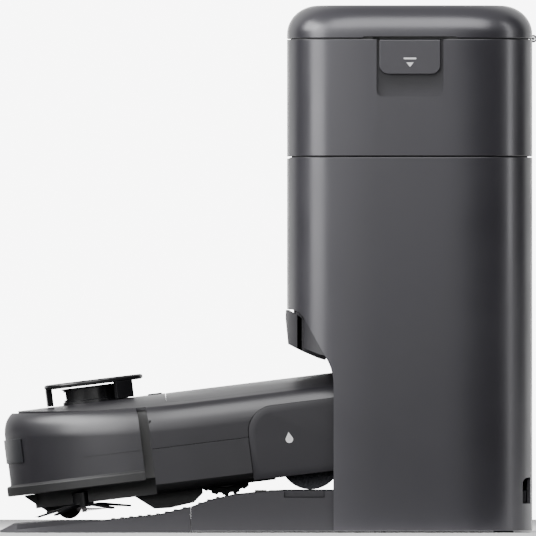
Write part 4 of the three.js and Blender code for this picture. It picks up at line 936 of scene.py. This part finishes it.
@dataclass
class Robot:
    """The robot's shells and running gear, in its own level frame."""

    radius: float = 162.0
    rear: float = 174.5
    rear_corner: float = 45.0
    deck: float = 95.0
    crown: float = 9.0
    crown_reach: float = 140.0
    shoulder_width: float = 13.0
    shoulder_drop: float = 20.0
    seam: float = 50.0
    side_front: float = 40.5
    bumper_rear: float = 48.5
    deck_radius: float = 148.3
    lip: float = 3.5
    lip_bottom: float = 24.4
    sweep: float = 4.4
    turret_x: float = -82.5
    turret_height: float = 90.0
    brush_reach: float = 42.0

    def __post_init__(self) -> None:
        """Work out the parked place from the laser drum's joint."""
        spin = JOINTS["lidar_spin"]
        up = Vector(spin["axis"]).normalized()
        aft = Vector((up.z, 0, -up.x))
        origin = Vector(spin["pos_m"]) / MM - aft * self.turret_x - up * self.turret_height
        self.place = Matrix(
            ((aft.x, 0, up.x, origin.x), (0, 1, 0, origin.y), (aft.z, 0, up.z, origin.z), (0, 0, 0, 1))
        )

    def outline(self, inset: float) -> list[Point]:
        """Give the plan outline, pulled in by inset."""
        corner = max(self.rear_corner - inset, 1.0)
        x = self.rear - inset - corner
        y = self.radius - inset - corner
        return [
            *arc(0, 0, self.radius - inset, TURN / 4, 0.75 * TURN, 72),
            *arc(x, -y, corner, 0.75 * TURN, TURN, 12),
            *arc(x, y, corner, 0, TURN / 4, 12),
        ]

    def sink_crown(self, bm: bmesh.types.BMesh) -> None:
        """Let the deck fall away to its sides, by more the higher a point stands over the seam."""
        for vert in bm.verts:
            share = min(1.0, max(0.0, (vert.co.z - self.seam) / 25.0))
            vert.co.z -= self.crown * (vert.co.y / self.crown_reach) ** 2 * share

    def shoulder(self, inset: float, drop: float, steps: int) -> list[Point]:
        """Give the path round the shoulder, from the side wall to the deck.

        Args:
            inset: How far inside the outer skin the path runs.
            drop: How far below the outer deck it ends.
            steps: How many stretches it has.

        Returns:
            The (inset, height) steps.
        """
        angles = [TURN / 4 * i / steps for i in range(steps + 1)]
        width, height = self.shoulder_width, self.shoulder_drop
        return [
            (inset + width * (1 - math.cos(a)), self.deck - drop - height + height * math.sin(a))
            for a in angles
        ]

    def swept_edge(self, at: float, lean: float) -> list[Point]:
        """Give an upright edge at a place along X that leans forward over the shoulder, in (x, z)."""
        rise = [(-at - lean * (i / 8) ** 2, 73 + 24 * i / 8) for i in range(9)]
        return [(-at, -20), *rise, (rise[-1][0] - lean, 130)]

    def cut_lost_front(self, piece: bpy.types.Object) -> None:
        """Cut a shell so that only the round deck is left ahead of the sides."""
        edge = self.swept_edge(self.side_front, self.sweep - 1.2)
        ahead = as_object("ahead", prism([(-260, -20), *edge, (-260, 130)], -260, 260, Along.Y))
        carve(ahead, prism(arc(0, 0, self.deck_radius, 0, TURN, 144)[:-1], -40, 200))
        tool = bmesh.new()
        tool.from_mesh(ahead.data)
        bpy.data.objects.remove(ahead)
        carve(piece, tool)

    def build_upper_shell(self) -> None:
        """Build the crowned upper shell, open over the dust box, the laser drum and the buttons."""
        wall = 2.5
        flat = [20, 32, 46, 62, 80, 100, 120, 140, 152]
        path = [
            *[(inset, self.deck - wall) for inset in reversed(flat)],
            *reversed(self.shoulder(wall, wall, 10)),
            (wall, self.seam + 0.1),
            *arc(0.5, self.seam + 0.6, 0.5, -TURN / 4, -TURN / 2, 3),
            *self.shoulder(0, 0, 16),
            *[(inset, self.deck) for inset in flat],
        ]
        skin = loft(self.outline, path, capped=True)
        self.sink_crown(skin)
        piece = as_object("upper_shell_skin", skin)
        self.cut_lost_front(piece)
        tools = [
            prism(rounded_box(-23.9, 159.9, -134.4, 134.4, 20.4, 12), 40, 200),
            prism(arc(self.turret_x, 0, 29.5, 0, TURN, 64)[:-1], 60, 200),
        ]
        tools += [prism(arc(-32.5, y, 6.4, 0, TURN, 40)[:-1], 60, 200) for y in (-12, 12)]
        carve(piece, merged(tools))
        for side in (-1, 1):
            carve(piece, self.mop_cover_room(side))
        complete(piece, ROBOT_SHELL, "robot", ["upper_shell"], edge=0.5, place=self.place)
        self.build_bulkheads()
        self.build_cover_frame()

    def build_bulkheads(self) -> None:
        """Build the two plates that close the sides' front ends, behind the bumper gap."""
        plates = []
        for side in (-1, 1):
            y0, y1 = sorted((side * 143.0, side * 156.0))
            plates.append(prism([(y0, 24), (y1, 24), (y1, 74), (y0, 78)] if side > 0 else
                                [(y0, 24), (y1, 24), (y1, 78), (y0, 74)],
                                -self.side_front + 0.2, -self.side_front + 2.2, Along.X))
        complete(as_object("side_bulkheads", merged(plates)), BELLY, "robot", edge=0.3, place=self.place)

    def build_cover_frame(self) -> None:
        """Build the ledge that the top cover rests on."""
        outer = rounded_box(-23.0, 159.0, -133.6, 133.6, 19.6, 12)
        ring = as_object("cover_ledge", prism(outer, 86.0, 91.4))
        carve(ring, prism(rounded_box(-17.5, 153.5, -128, 128, 14, 12), 40, 120))
        level = self.place.inverted()
        wheel = [(level @ (v.co / MM)).x for v in frame["nodes"]["left_tyre"].data.vertices]
        x0, x1 = min(wheel) + 4, max(wheel) - 4
        for side in (-1, 1):
            carve(ring, square_block((x0, x1), tuple(sorted((side * 100, side * 140))), (40, 120)))
        bm = bmesh.new()
        bm.from_mesh(ring.data)
        for vert in bm.verts:
            vert.co.z -= self.crown * (vert.co.y / self.crown_reach) ** 2
        bm.to_mesh(ring.data)
        bm.free()
        complete(ring, DARK_ABS_AND_SHADE, "robot", place=self.place)

    def mop_cover_room(self, side: int) -> bmesh.types.BMesh:
        """Build the tool that makes room in the robot's side for a mop cover."""
        corner = arc(41.1 + 22.4, 74.4 - 22.4, 22.4, TURN / 4, TURN / 2, 16)
        shape = [(41.1, 0), (152.9, 0), (152.9, 74.4), *corner]
        return prism(shape, *sorted((side * 158.9, side * 200)), Along.Y)

    def inner_form(self, inset: float) -> bmesh.types.BMesh:
        """Build the plan's solid, pulled in by inset."""
        return loft(self.outline, [(inset, 0), (inset, 120)], capped=True)

    def build_bumper(self) -> None:
        """Build the bumper: a wall with a rolled shoulder above and a bead along its lower edge."""
        wall, bottom = 3.0, self.lip_bottom
        bead = [
            (wall, bottom), (-self.lip + 0.8, bottom), (-self.lip, bottom + 0.8), (-self.lip, bottom + 7.2),
            (-self.lip + 1.0, bottom + 8.4), (-0.4, bottom + 8.9), (0, bottom + 9.4),
        ]
        path = [*bead, *self.shoulder(0, 0, 16), *reversed(self.shoulder(wall, wall, 12))]
        skin = loft(self.outline, path, capped=False)
        self.sink_crown(skin)
        piece = as_object("bumper_skin", skin)
        edge = self.swept_edge(self.bumper_rear, self.sweep)
        carve(piece, prism([(260, -20), *edge, (260, 130)], -260, 260, Along.Y))
        carve(piece, prism(arc(-4.2, 0, 149.2, 0, TURN, 120)[:-1], 60, 200))
        for side in (-1, 1):
            low, high = sorted((side * 120, side * 200))
            groove = [(-97, 49.75), (-40, 49.75), (-40, 50.25), (-97, 50.25)]
            line = as_object("line", prism(groove, low, high, Along.Y))
            carve(line, self.inner_form(0.4))
            tool = bmesh.new()
            tool.from_mesh(line.data)
            bpy.data.objects.remove(line)
            carve(piece, tool)
        two_tone(piece, ROBOT_SHELL, BELLY, lambda centre, _normal: centre.z < bottom + 9.2)
        complete(piece, ROBOT_SHELL, "bumper", ["bumper"], edge=0.5, place=self.place)
        near, thick, spread = self.radius + 0.4, 0.9, math.radians(24)
        window = [
            *arc(0, 0, near + thick, TURN / 2 - spread, TURN / 2 + spread, 40),
            *arc(0, 0, near, TURN / 2 + spread, TURN / 2 - spread, 40),
        ]
        complete(as_object("sensor_window_skin", prism(window, 52, 72)), SMOKED, "bumper", ["sensor_window"],
                 edge=0.25, place=self.place)

    def build_turret(self) -> None:
        """Build the laser turret: a thin cap on curved posts, and the drum that spins under it."""
        cap_low, cap_high, radius, deck = 109.4, 113.8, 41.8, self.deck + 0.4
        profile = [
            (0, cap_low), (radius - 2.2, cap_low), (radius - 0.6, cap_low + 0.7), (radius, cap_low + 2.0),
            (radius - 0.3, cap_high - 1.0), (radius - 1.4, cap_high - 0.2), (radius - 3.0, cap_high),
            (radius - 9.0, cap_high), (radius - 9.6, cap_high - 0.5), (0, cap_high - 0.5),
        ]
        parts = [lathe(profile, 96)]
        for bearing in (0.28, 1.0, 1.72):
            angle = bearing * TURN / 2
            shape = [
                *arc(0, 0, radius - 0.6, angle - 0.22, angle + 0.22, 10),
                *arc(0, 0, radius - 5.6, angle + 0.22, angle - 0.22, 10),
            ]
            parts.append(prism(shape, deck, cap_low + 0.3))
        cap = merged(parts)
        bmesh.ops.translate(cap, vec=(self.turret_x, 0, 0), verts=cap.verts)
        complete(as_object("turret_cap_skin", cap), GLOSS, "robot", ["turret_cap"], edge=0.3,
                 place=self.place)
        drum_profile = [
            (0, 64), (10, 64), (10, 84), (26.5, 84), (27.5, 85), (27.5, 97), (26.2, 97.6), (26.2, 107),
            (27.5, 107.6), (27.5, 108.2), (26.9, 108.6), (0, 108.6),
        ]
        drum = as_object("lidar_drum_skin", lathe(drum_profile, 72, Vector((self.turret_x, 0, 0))))
        window = prism([(-9, 99), (9, 99), (9, 105.5), (-9, 105.5)], self.turret_x - 40, self.turret_x - 15,
                       Along.X)
        carve(drum, window)
        complete(drum, GLOSS, "lidar", ["lidar_drum"], edge=0.25, place=self.place)

    def build_buttons(self) -> None:
        """Build the two round keys, dished, each with a fine light ring round it."""
        for y, node, body in ((-12, "power_button", "power_key"), (12, "home_button", "home_key")):
            top = self.deck + 0.9
            profile = [(0, 89), (6, 89), (6, top - 0.5), (5.5, top), (4.2, top - 0.15), (0, top - 0.5)]
            key = lathe(profile, 48, Vector((-32.5, y, 0)))
            complete(as_object(f"{node}_skin", key), ROBOT_SHELL, body, [node], place=self.place)
            ring = lathe([(2.4, top - 0.42), (2.9, top - 0.34), (2.9, top - 0.2), (2.4, top - 0.28),
                          (2.4, top - 0.42)], 40, Vector((-32.5, y, 0)))
            complete(as_object(f"{node}_ring", ring), INK, body, place=self.place)

    def build_mop_covers(self) -> None:
        """Build the panels over the mop's ends: a bevelled border round a flat field with a drop mark."""
        for side, name in ((-1, "left"), (1, "right")):
            node = f"mop_cover_{name}"
            front, rear, low, high, corner = 41.5, 152.5, 13.5, 74.0, 22.0
            shape = [
                (front, low),
                *arc(front + corner, high - corner, corner, TURN / 2, TURN / 4, 16),
                (rear, high),
                (rear, low),
            ]
            bm = prism(shape, *sorted((side * 159.3, side * 161.6)), Along.Y)
            outer = [f for f in bm.faces if abs(f.normal.y - side) < 0.1]
            bmesh.ops.inset_region(bm, faces=outer, thickness=6.5, depth=0.0, use_even_offset=True)
            bmesh.ops.translate(bm, vec=(0, side * 1.6, 0), verts=list({v for f in outer for v in f.verts}))
            # The covers take the darker finish, whose colour is partly painted shade, because the covers face
            # a little downwards.
            complete(as_object(f"{node}_skin", bm), DARK_ABS_AND_SHADE, "robot", [node], edge=0.3, place=self.place,
                     crease=25)
            drop = [(0, 5.2), *arc(0, -0.8, 3.1, 0.42, -math.pi - 0.42, 20)]
            print_span = sorted((side * 163.15, side * 163.28))
            mark = prism([(75 + x, 45 + z) for x, z in drop], *print_span, Along.Y)
            complete(as_object(f"{node}_drop_mark", mark), INK, "robot", place=self.place)

    def bristle(self, start: float, spread: float, reach: float, foot: float) -> bmesh.types.BMesh:
        """Build one bristle: a thin three-sided strand that tapers, bends back and droops.

        Args:
            start: The bearing of its root, in radians.
            spread: How far it fans out from its tuft's middle, in radians.
            reach: How far its tip stands from the hub's centre.
            foot: The height that its droop ends near.

        Returns:
            The strand, round the hub's centre.
        """
        strand = bmesh.new()
        rings = []
        for k in range(8):
            t = k / 7
            bearing = start + spread * t + 0.42 * t * t
            out = min(9 + (reach - 9) * t, self.brush_reach + 2)
            height = foot + 4.5 - 3.6 * t * t
            base = Vector((out * math.cos(bearing), out * math.sin(bearing), height))
            across = Vector((-math.sin(bearing), math.cos(bearing), 0))
            thick = 0.34 * (1 - 0.6 * t)
            corners = [
                across * math.cos(a) + Vector((0, 0, math.sin(a))) for a in (0.0, TURN / 3, 2 * TURN / 3)
            ]
            rings.append([strand.verts.new(base + corner * thick) for corner in corners])
        for near, far in zip(rings, rings[1:]):
            for j in range(3):
                strand.faces.new((near[j], near[(j + 1) % 3], far[(j + 1) % 3], far[j]))
        strand.faces.new(rings[0][::-1])
        strand.faces.new(rings[-1])
        bmesh.ops.recalc_face_normals(strand, faces=strand.faces)
        return strand

    def build_side_brush(self) -> None:
        """Build the side brush: its moulded hub and arms, and a spray of fine bristles off each arm."""
        refine("side_brush", GLOSS, 0.3)
        level = self.place.inverted()
        hub = level @ (Vector(JOINTS["side_brush_spin"]["pos_m"]) / MM)
        foot = min((level @ (v.co / MM)).z for v in frame["nodes"]["side_brush"].data.vertices)
        tufts, count = 3, 15
        bristles = []
        for tuft in range(tufts):
            for i in range(count):
                spread = (i / (count - 1) - 0.5) * 0.62
                reach = self.brush_reach - 3.0 * noise.noise(Vector((tuft * 3.1, i * 1.7, 0.5)))
                bristles.append(self.bristle(TURN * tuft / tufts + 0.35, spread, reach, foot))
        spray = merged(bristles)
        bmesh.ops.translate(spray, vec=(hub.x, hub.y, 0), verts=spray.verts)
        complete(as_object("side_brush_bristles", spray), NYLON, "side_brush", place=self.place, crease=180)

    def is_side(self, point: Vector) -> bool:
        """Tell whether a point of the chassis lies on its outer side walls, above the skirt."""
        if point.x < 0:
            across = math.hypot(point.x, point.y)
        else:
            across = abs(point.y) if point.x < self.rear - self.rear_corner else self.radius
        return point.z > 19.5 and point.x > -self.side_front - 1 and across > self.radius - 1.5

    def build(self) -> None:
        """Build the whole robot."""
        self.build_upper_shell()
        self.build_bumper()
        self.build_turret()
        self.build_buttons()
        self.build_mop_covers()
        level = self.place.inverted()
        refine("chassis", BELLY, 0.5, ROBOT_SHELL, lambda centre, _normal: self.is_side(level @ centre))
        for node, finish, edge in (
            ("bumper_backing", RUBBER, 0.4), ("top_cover", ROBOT_SHELL, 0.6),
            ("dust_box", SMOKED, 0.6), ("battery", GLOSS, 0.8), ("fan_motor", GLOSS, 0.5),
            ("main_board", BOARD, 0.1), ("brush_guard", GLOSS, 0.6), ("mop_carriage", DARK_ABS_AND_SHADE, 0.5),
            ("caster_fork", GLOSS, 0.3), ("caster_wheel", TREAD, 0.8),
            ("left_wheel_arm", DARK_ABS_AND_SHADE, 0.5), ("right_wheel_arm", DARK_ABS_AND_SHADE, 0.5),
            ("left_wheel_hub", GLOSS, 0.5), ("right_wheel_hub", GLOSS, 0.5),
            ("left_tyre", TREAD, 0.4), ("right_tyre", TREAD, 0.4), ("main_brush", RUBBER, 0.4),
            ("mop_roller", FLEECE, 0.8),
        ):
            refine(node, finish, edge)
        self.build_side_brush()


# ---- Studio -----------------------------------------------------------------------------------------


@dataclass(frozen=True)
class Softbox:
    """One soft rectangular light: its bearing from the front, its place and lean, its size and power."""

    name: str
    bearing: float
    away: float
    centre: float
    lean: float
    width: float
    height: float
    power: float


@dataclass(frozen=True)
class Flag:
    """One black card that keeps light off: the bearings it spans and the heights it stands between."""

    name: str
    start: float
    stop: float
    low: float
    high: float


@dataclass
class Studio:
    """The pale floor, soft lights, black flags and long-lens camera, level with the object's side."""

    distance: float = 60.0
    view_width: float = 0.4502
    centre_x: float = -0.0005
    centre_z: float = 0.2218
    reach: float = 2.6
    lights: tuple[Softbox, ...] = (
        Softbox("left_strip", -66, 2.1, 1.16, 0, 1.5, 2.0, 62.0),
        Softbox("left_fill", -18, 2.3, 1.2, 0, 1.95, 2.0, 21.0),
        Softbox("right_strip", 90, 2.1, 1.16, 0, 0.45, 2.0, 13.0),
        Softbox("top_front", 0, 1.25, 1.75, 50, 2.2, 1.3, 52.0),
        Softbox("top_left", -94, 1.7, 1.25, 36, 1.5, 0.9, 36.0),
    )
    flags: tuple[Flag, ...] = (
        Flag("front_flag", 9, 66, 0.02, 1.5),
        Flag("left_rear_flag", -143, -114, 0.02, 2.4),
        Flag("right_rear_flag", 114, 145, 0.02, 2.4),
    )

    def build(self) -> None:
        """Build the floor, the world, the lights, the flags and the camera."""
        self._floor()
        self._world()
        self._camera()
        for light in self.lights:
            self._softbox(light)
        for flag in self.flags:
            self._flag(flag)
        self._apron()

    def _floor(self) -> None:
        """Make the floor that the dock stands on."""
        bm = bmesh.new()
        bmesh.ops.create_grid(bm, x_segments=1, y_segments=1, size=3.0)
        floor = as_object("floor", bm)
        floor.data.materials.append(self._matt("pale_floor", "#f7f7f7"))

    def _matt(self, name: str, colour: str) -> bpy.types.Material:
        """Make a plain matt material for something that stands in the studio."""
        made = bpy.data.materials.new(name)
        made.use_nodes = True
        shader = made.node_tree.nodes["Principled BSDF"]
        shader.inputs["Base Color"].default_value = linear(colour)
        shader.inputs["Roughness"].default_value = 0.95
        shader.inputs["Specular IOR Level"].default_value = 0.0
        return made

    def _world(self) -> None:
        """Surround the set with even white, and with a lit white backdrop straight behind it."""
        world = bpy.data.worlds.new("white_room")
        world.use_nodes = True
        tree = world.node_tree
        place = add_node(tree, "ShaderNodeTexCoord").outputs["Generated"]
        behind = add_node(
            tree, "ShaderNodeVectorMath", {0: place, 1: (0.0, 1.0, 0.0)}, operation="DOT_PRODUCT"
        ).outputs["Value"]
        room = add_node(
            tree, "ShaderNodeMapRange",
            {"Value": behind, "From Min": 0.7, "From Max": 0.96, "To Min": 0.36, "To Max": 0.85},
        )
        glow = add_node(
            tree, "ShaderNodeMapRange",
            {"Value": behind, "From Min": 0.985, "From Max": 0.999, "To Min": room.outputs["Result"],
             "To Max": 8.0},
            interpolation_type="SMOOTHSTEP",
        )
        background = tree.nodes["Background"]
        background.inputs["Color"].default_value = linear("#ffffff")
        tree.links.new(glow.outputs["Result"], background.inputs["Strength"])
        bpy.context.scene.world = world

    def _camera(self) -> None:
        """Put a long lens level with the side of the object."""
        data = bpy.data.cameras.new("camera")
        data.sensor_width = 36.0
        data.lens = data.sensor_width * self.distance / self.view_width
        data.clip_end = 200.0
        camera = bpy.data.objects.new("camera", data)
        camera.location = (self.centre_x, -self.distance, self.centre_z)
        camera.rotation_euler = (TURN / 4, 0, 0)
        bpy.context.collection.objects.link(camera)
        bpy.context.scene.camera = camera

    def _softbox(self, box: Softbox) -> None:
        """Hang one softbox that faces the middle of the object."""
        data = bpy.data.lights.new(box.name, "AREA")
        data.shape = "RECTANGLE"
        data.size, data.size_y = box.width, box.height
        data.energy = box.power
        light = bpy.data.objects.new(box.name, data)
        bearing, lean = math.radians(box.bearing), math.radians(box.lean)
        level = Vector((math.sin(bearing), -math.cos(bearing), 0))
        light.location = Vector((0.05, 0, box.centre)) + level * box.away
        facing = level * math.cos(lean) + Vector((0, 0, math.sin(lean)))
        light.rotation_euler = facing.to_track_quat("Z", "Y").to_euler()
        light.visible_camera = False
        bpy.context.collection.objects.link(light)

    def _apron(self) -> None:
        """Lay a black card on the floor before the set, so that no light comes up from it."""
        card = as_object("floor_apron", prism(
            [(-2.4, -2.4), (1.8, -2.4), (1.8, -0.2), (-0.24, -0.2), (-0.24, 0.9), (-2.4, 0.9)], 0.001, 0.0015
        ))
        card.data.materials.append(self._matt("black_floor_apron", "#050505"))
        card.visible_camera = card.visible_shadow = False

    def _flag(self, flag: Flag) -> None:
        """Stand one curved black card round the set, which the camera looks through."""
        start, stop = (math.radians(bearing - 90) for bearing in (flag.start, flag.stop))
        edge = arc(0.05, 0, self.reach, start, stop, 12)
        bm = bmesh.new()
        verts = [bm.verts.new((x, y, flag.low)) for x, y in edge]
        edges = [bm.edges.new(pair) for pair in zip(verts, verts[1:])]
        raised = bmesh.ops.extrude_edge_only(bm, edges=edges)["geom"]
        lifted = [v for v in raised if isinstance(v, bmesh.types.BMVert)]
        bmesh.ops.translate(bm, vec=(0, 0, flag.high - flag.low), verts=lifted)
        card = as_object(flag.name, bm)
        card.data.materials.append(self._matt(f"black_{flag.name}", "#050505"))
        card.visible_camera = False


def main() -> None:
    """Build every sub-assembly in order."""
    logging.basicConfig(level=logging.INFO, format="%(name)s: %(message)s")
    for assembly in (Studio(), Tower(), Base(), Robot()):
        log.info("building %s", type(assembly).__name__)
        assembly.build()


if __name__ == "__main__":
    main()
